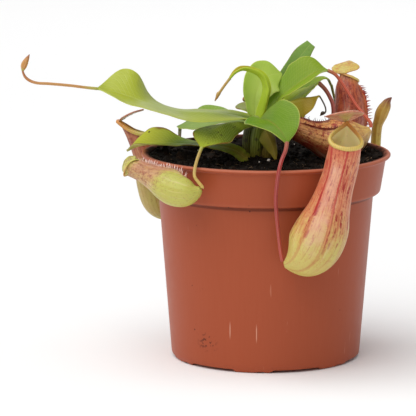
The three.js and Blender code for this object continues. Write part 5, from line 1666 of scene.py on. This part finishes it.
class PLANT_OT_make_leaves(bpy.types.Operator):
    """Make the fourteen leaves"""

    bl_idname = "plant.make_leaves"
    bl_label = "Leaves"

    def execute(self, context):
        settings = context.scene.plant_settings
        for order, (name, spec) in enumerate(LEAVES.items()):
            start = ROOT
            if name != ROOTED_LEAF:
                start = np.array(CROWN) * 0.8 + np.array(spec["mid"][0]) * 0.2 - np.array([0, 0, 2.5])
            skin = blade(
                spec, steps=84, across=14, thickness=settings.leaf_thickness / MM, start=start,
                wave=settings.margin_wave / MM, rib=1.1, seed=40 + 3 * order)
            finish = leaf_finish(name, LEAF_LOOKS[name], settings.vein_depth)
            build_piece(name + "_blade", skin, finish, [name])
        return {"FINISHED"}


class PLANT_OT_make_tendrils(bpy.types.Operator):
    """Make the ten tendrils with their buds"""

    bl_idname = "plant.make_tendrils"
    bl_label = "Tendrils"

    def execute(self, context):
        for name, spec in TENDRILS.items():
            r = spec["radius"] * CORD_SHARE
            thickness = [r * 1.1, r, r, r, r, r, r * 1.1]
            bud = spec.get("bud")
            if bud:
                thickness[-1] = r * 0.3
            skin = round_cord(spec["path"], thickness, steps=90, sides=14)
            if bud:
                foot, tip, wide = (np.array(v, float) for v in bud)
                bow = np.array([-0.25, 0, 0.1]) * wide
                path = [foot, foot * 0.6 + tip * 0.4 + bow, tip]
                shape = [wide * s for s in (0.35, 0.85, 1, 0.8, 0.5, 0.06)]
                skin = skin + round_cord(path, shape, steps=26, sides=14, squash=0.85)
            finish = tendril_finish(name, TENDRIL_LOOKS[name])
            build_piece(name + "_cord", skin, finish, [name])
        return {"FINISHED"}


HAIR_TONES = {
    "pitcher_left_front": ((222, 168, 140), (248, 222, 212)),
    "pitcher_lying": ((110, 34, 32), (60, 24, 24)),
    "pitcher_standing": ((186, 72, 56), (150, 46, 40)),
}


class PLANT_OT_make_pitchers(bpy.types.Operator):
    """Make the five open pitchers and the hairs along their wings"""

    bl_idname = "plant.make_pitchers"
    bl_label = "Pitchers"

    def execute(self, context):
        longest = context.scene.plant_settings.hair_length / MM
        for name, spec in PITCHERS.items():
            finish = pitcher_finish(name, PITCHER_LOOKS[name])
            build_piece(name + "_cup", pitcher_skin(spec), finish, [name])
            if spec["hairs"]:
                tones = hair_finish(name + " hairs", *HAIR_TONES[name])
                build_piece(name + "_hairs", self.fringe(spec, longest), tones)
        return {"FINISHED"}

    def fringe(self, spec, longest):
        """Hairs on the crest of each wing, evenly spread with a little chance in place, length and lean."""
        rng = np.random.default_rng(spec["hairs"])
        count = spec["hairs"]
        whole = None
        for sign in (1, -1):
            gap = (spec["wing_to"] - spec["wing_from"]) / count
            shares = spec["wing_from"] + gap * (np.arange(count) + 0.5) + rng.uniform(-0.3, 0.3, count) * gap
            line = even_line(spec["path"], shares)
            along, side, face = pitcher_line(spec, shares)[1]
            angle = math.radians(WING_ANGLE) * sign
            out = face * math.cos(angle) + side * math.sin(angle)
            lean = np.radians(spec["tilt"]) * step(shares, LEAN_FROM, 1)[:, None]
            out = unit(out - along * np.sin(lean) * math.cos(angle))
            reach = (along_curve(spec["radius"], shares) + spec["wing"] * 0.75)[:, None]
            feet = line + out * reach
            length = longest * spec["hair"] * rng.uniform(0.5, 1, count)[:, None]
            tips = feet + unit(out + 0.3 * along + rng.normal(0, 0.22, (count, 3))) * length
            made = cones(feet, tips, radius=0.16 * spec["hair"] ** 2, sides=5, bend=along * 0.12)
            whole = made if whole is None else whole + made
        return whole


class PLANT_OT_make_lids(bpy.types.Operator):
    """Make the lid of each open pitcher"""

    bl_idname = "plant.make_lids"
    bl_label = "Lids"

    def execute(self, context):
        for order, (name, spec) in enumerate(LIDS.items()):
            skin = blade(
                spec, steps=44, across=12, thickness=0.8, wave=spec.get("wave", 0.35), rib=0.3,
                seed=90 + 3 * order)
            finish = lid_finish(name, LID_LOOKS[name])
            build_piece(name + "_flap", skin, finish, [name])
        spur = round_cord(LID_SPUR, [0.7, 0.45, 0.35, 0.4, 0.12], steps=30, sides=10)
        build_piece("lid_front_spur", spur, tendril_finish("lid spur", LID_SPUR_TONES))
        return {"FINISHED"}


class PLANT_OT_make_pod(bpy.types.Operator):
    """Make the pitcher that has not opened yet"""

    bl_idname = "plant.make_pod"
    bl_label = "Unopened pitcher"

    def execute(self, context):
        skin = round_cord(POD_PATH, POD_RADIUS, steps=110, sides=32)
        build_piece("pitcher_unopened_pod", skin, pod_finish(), ["pitcher_unopened"])
        return {"FINISHED"}


class PLANT_OT_make_stage(bpy.types.Operator):
    """Make the pale floor, the soft lights and the camera"""

    bl_idname = "plant.make_stage"
    bl_label = "Floor, lights and camera"

    def execute(self, context):
        scene = context.scene
        mesh = bpy.data.meshes.new("floor")
        turn = full_turn(96)
        rim = FLOOR_RADIUS * np.stack([np.cos(turn), np.sin(turn), 0 * turn], -1)
        mesh.from_pydata(rim, [], [list(range(len(rim)))])
        mesh.materials.append(floor_finish())
        floor = bpy.data.objects.new("floor", mesh)
        scene.collection.objects.link(floor)
        world = bpy.data.worlds.new("studio")
        world.use_nodes = True
        background = world.node_tree.nodes["Background"]
        background.inputs["Color"].default_value = (1, 1, 1, 1)
        background.inputs["Strength"].default_value = WORLD_STRENGTH
        scene.world = world
        for light in SOFT_LIGHTS:
            self.light(scene, *light)
        overhead = bpy.data.lights.new("overhead", "SUN")
        overhead.energy = SUN_STRENGTH
        overhead.angle = math.radians(SUN_SPREAD)
        lamp = bpy.data.objects.new("overhead", overhead)
        lamp.rotation_mode = "QUATERNION"
        lamp.rotation_quaternion = Vector(SUN_WAY).to_track_quat("-Z", "Y")
        scene.collection.objects.link(lamp)
        scene.view_settings.view_transform = "Standard"
        camera = bpy.data.objects.new("camera", bpy.data.cameras.new("camera"))
        scene.collection.objects.link(camera)
        camera.data.lens = CAMERA_LENS
        camera.data.sensor_width = 36
        camera.data.clip_start = 0.05
        camera.data.clip_end = 50
        camera.location = CAMERA_PLACE
        level = math.cos(CAMERA_FALL)
        ahead = Vector((
            math.sin(CAMERA_HEADING) * level, math.cos(CAMERA_HEADING) * level, -math.sin(CAMERA_FALL)))
        camera.rotation_mode = "QUATERNION"
        camera.rotation_quaternion = ahead.to_track_quat("-Z", "Y")
        scene.camera = camera
        return {"FINISHED"}

    def light(self, scene, name, place, size, power):
        """A square soft light that looks at the plant."""
        data = bpy.data.lights.new(name, "AREA")
        data.size = size
        data.energy = power
        lamp = bpy.data.objects.new(name, data)
        lamp.location = place
        lamp.visible_camera = False
        lamp.rotation_mode = "QUATERNION"
        way = Vector(LIGHT_TARGET) - Vector(place)
        lamp.rotation_quaternion = way.to_track_quat("-Z", "Y")
        scene.collection.objects.link(lamp)


OPERATORS = (
    PLANT_OT_make_pot, PLANT_OT_make_soil, PLANT_OT_make_stem, PLANT_OT_make_leaves, PLANT_OT_make_tendrils,
    PLANT_OT_make_pitchers, PLANT_OT_make_lids, PLANT_OT_make_pod, PLANT_OT_make_stage,
)


class PLANT_PT_pitcher_plant(bpy.types.Panel):
    """Sizes, colours and pieces of the plant"""

    bl_label = "Pitcher plant"
    bl_space_type = "VIEW_3D"
    bl_region_type = "UI"
    bl_category = "Pitcher plant"

    def draw(self, context):
        for settings in (context.scene.pot_settings, context.scene.plant_settings):
            box = self.layout.box()
            for key in settings.bl_rna.properties.keys():
                if key not in ("rna_type", "name"):
                    box.prop(settings, key)
        for operator in OPERATORS:
            self.layout.operator(operator.bl_idname)


CLASSES = (PotSettings, PlantSettings, *OPERATORS, PLANT_PT_pitcher_plant)


def register():
    for one in CLASSES:
        bpy.utils.register_class(one)
    bpy.types.Scene.pot_settings = bpy.props.PointerProperty(type=PotSettings)
    bpy.types.Scene.plant_settings = bpy.props.PointerProperty(type=PlantSettings)


def unregister():
    del bpy.types.Scene.plant_settings
    del bpy.types.Scene.pot_settings
    for one in reversed(CLASSES):
        bpy.utils.unregister_class(one)


def main():
    register()
    bpy.ops.plant.make_pot()
    bpy.ops.plant.make_soil()
    bpy.ops.plant.make_stem()
    bpy.ops.plant.make_leaves()
    bpy.ops.plant.make_tendrils()
    bpy.ops.plant.make_pitchers()
    bpy.ops.plant.make_lids()
    bpy.ops.plant.make_pod()
    bpy.ops.plant.make_stage()
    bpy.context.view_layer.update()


if __name__ == "__main__":
    main()
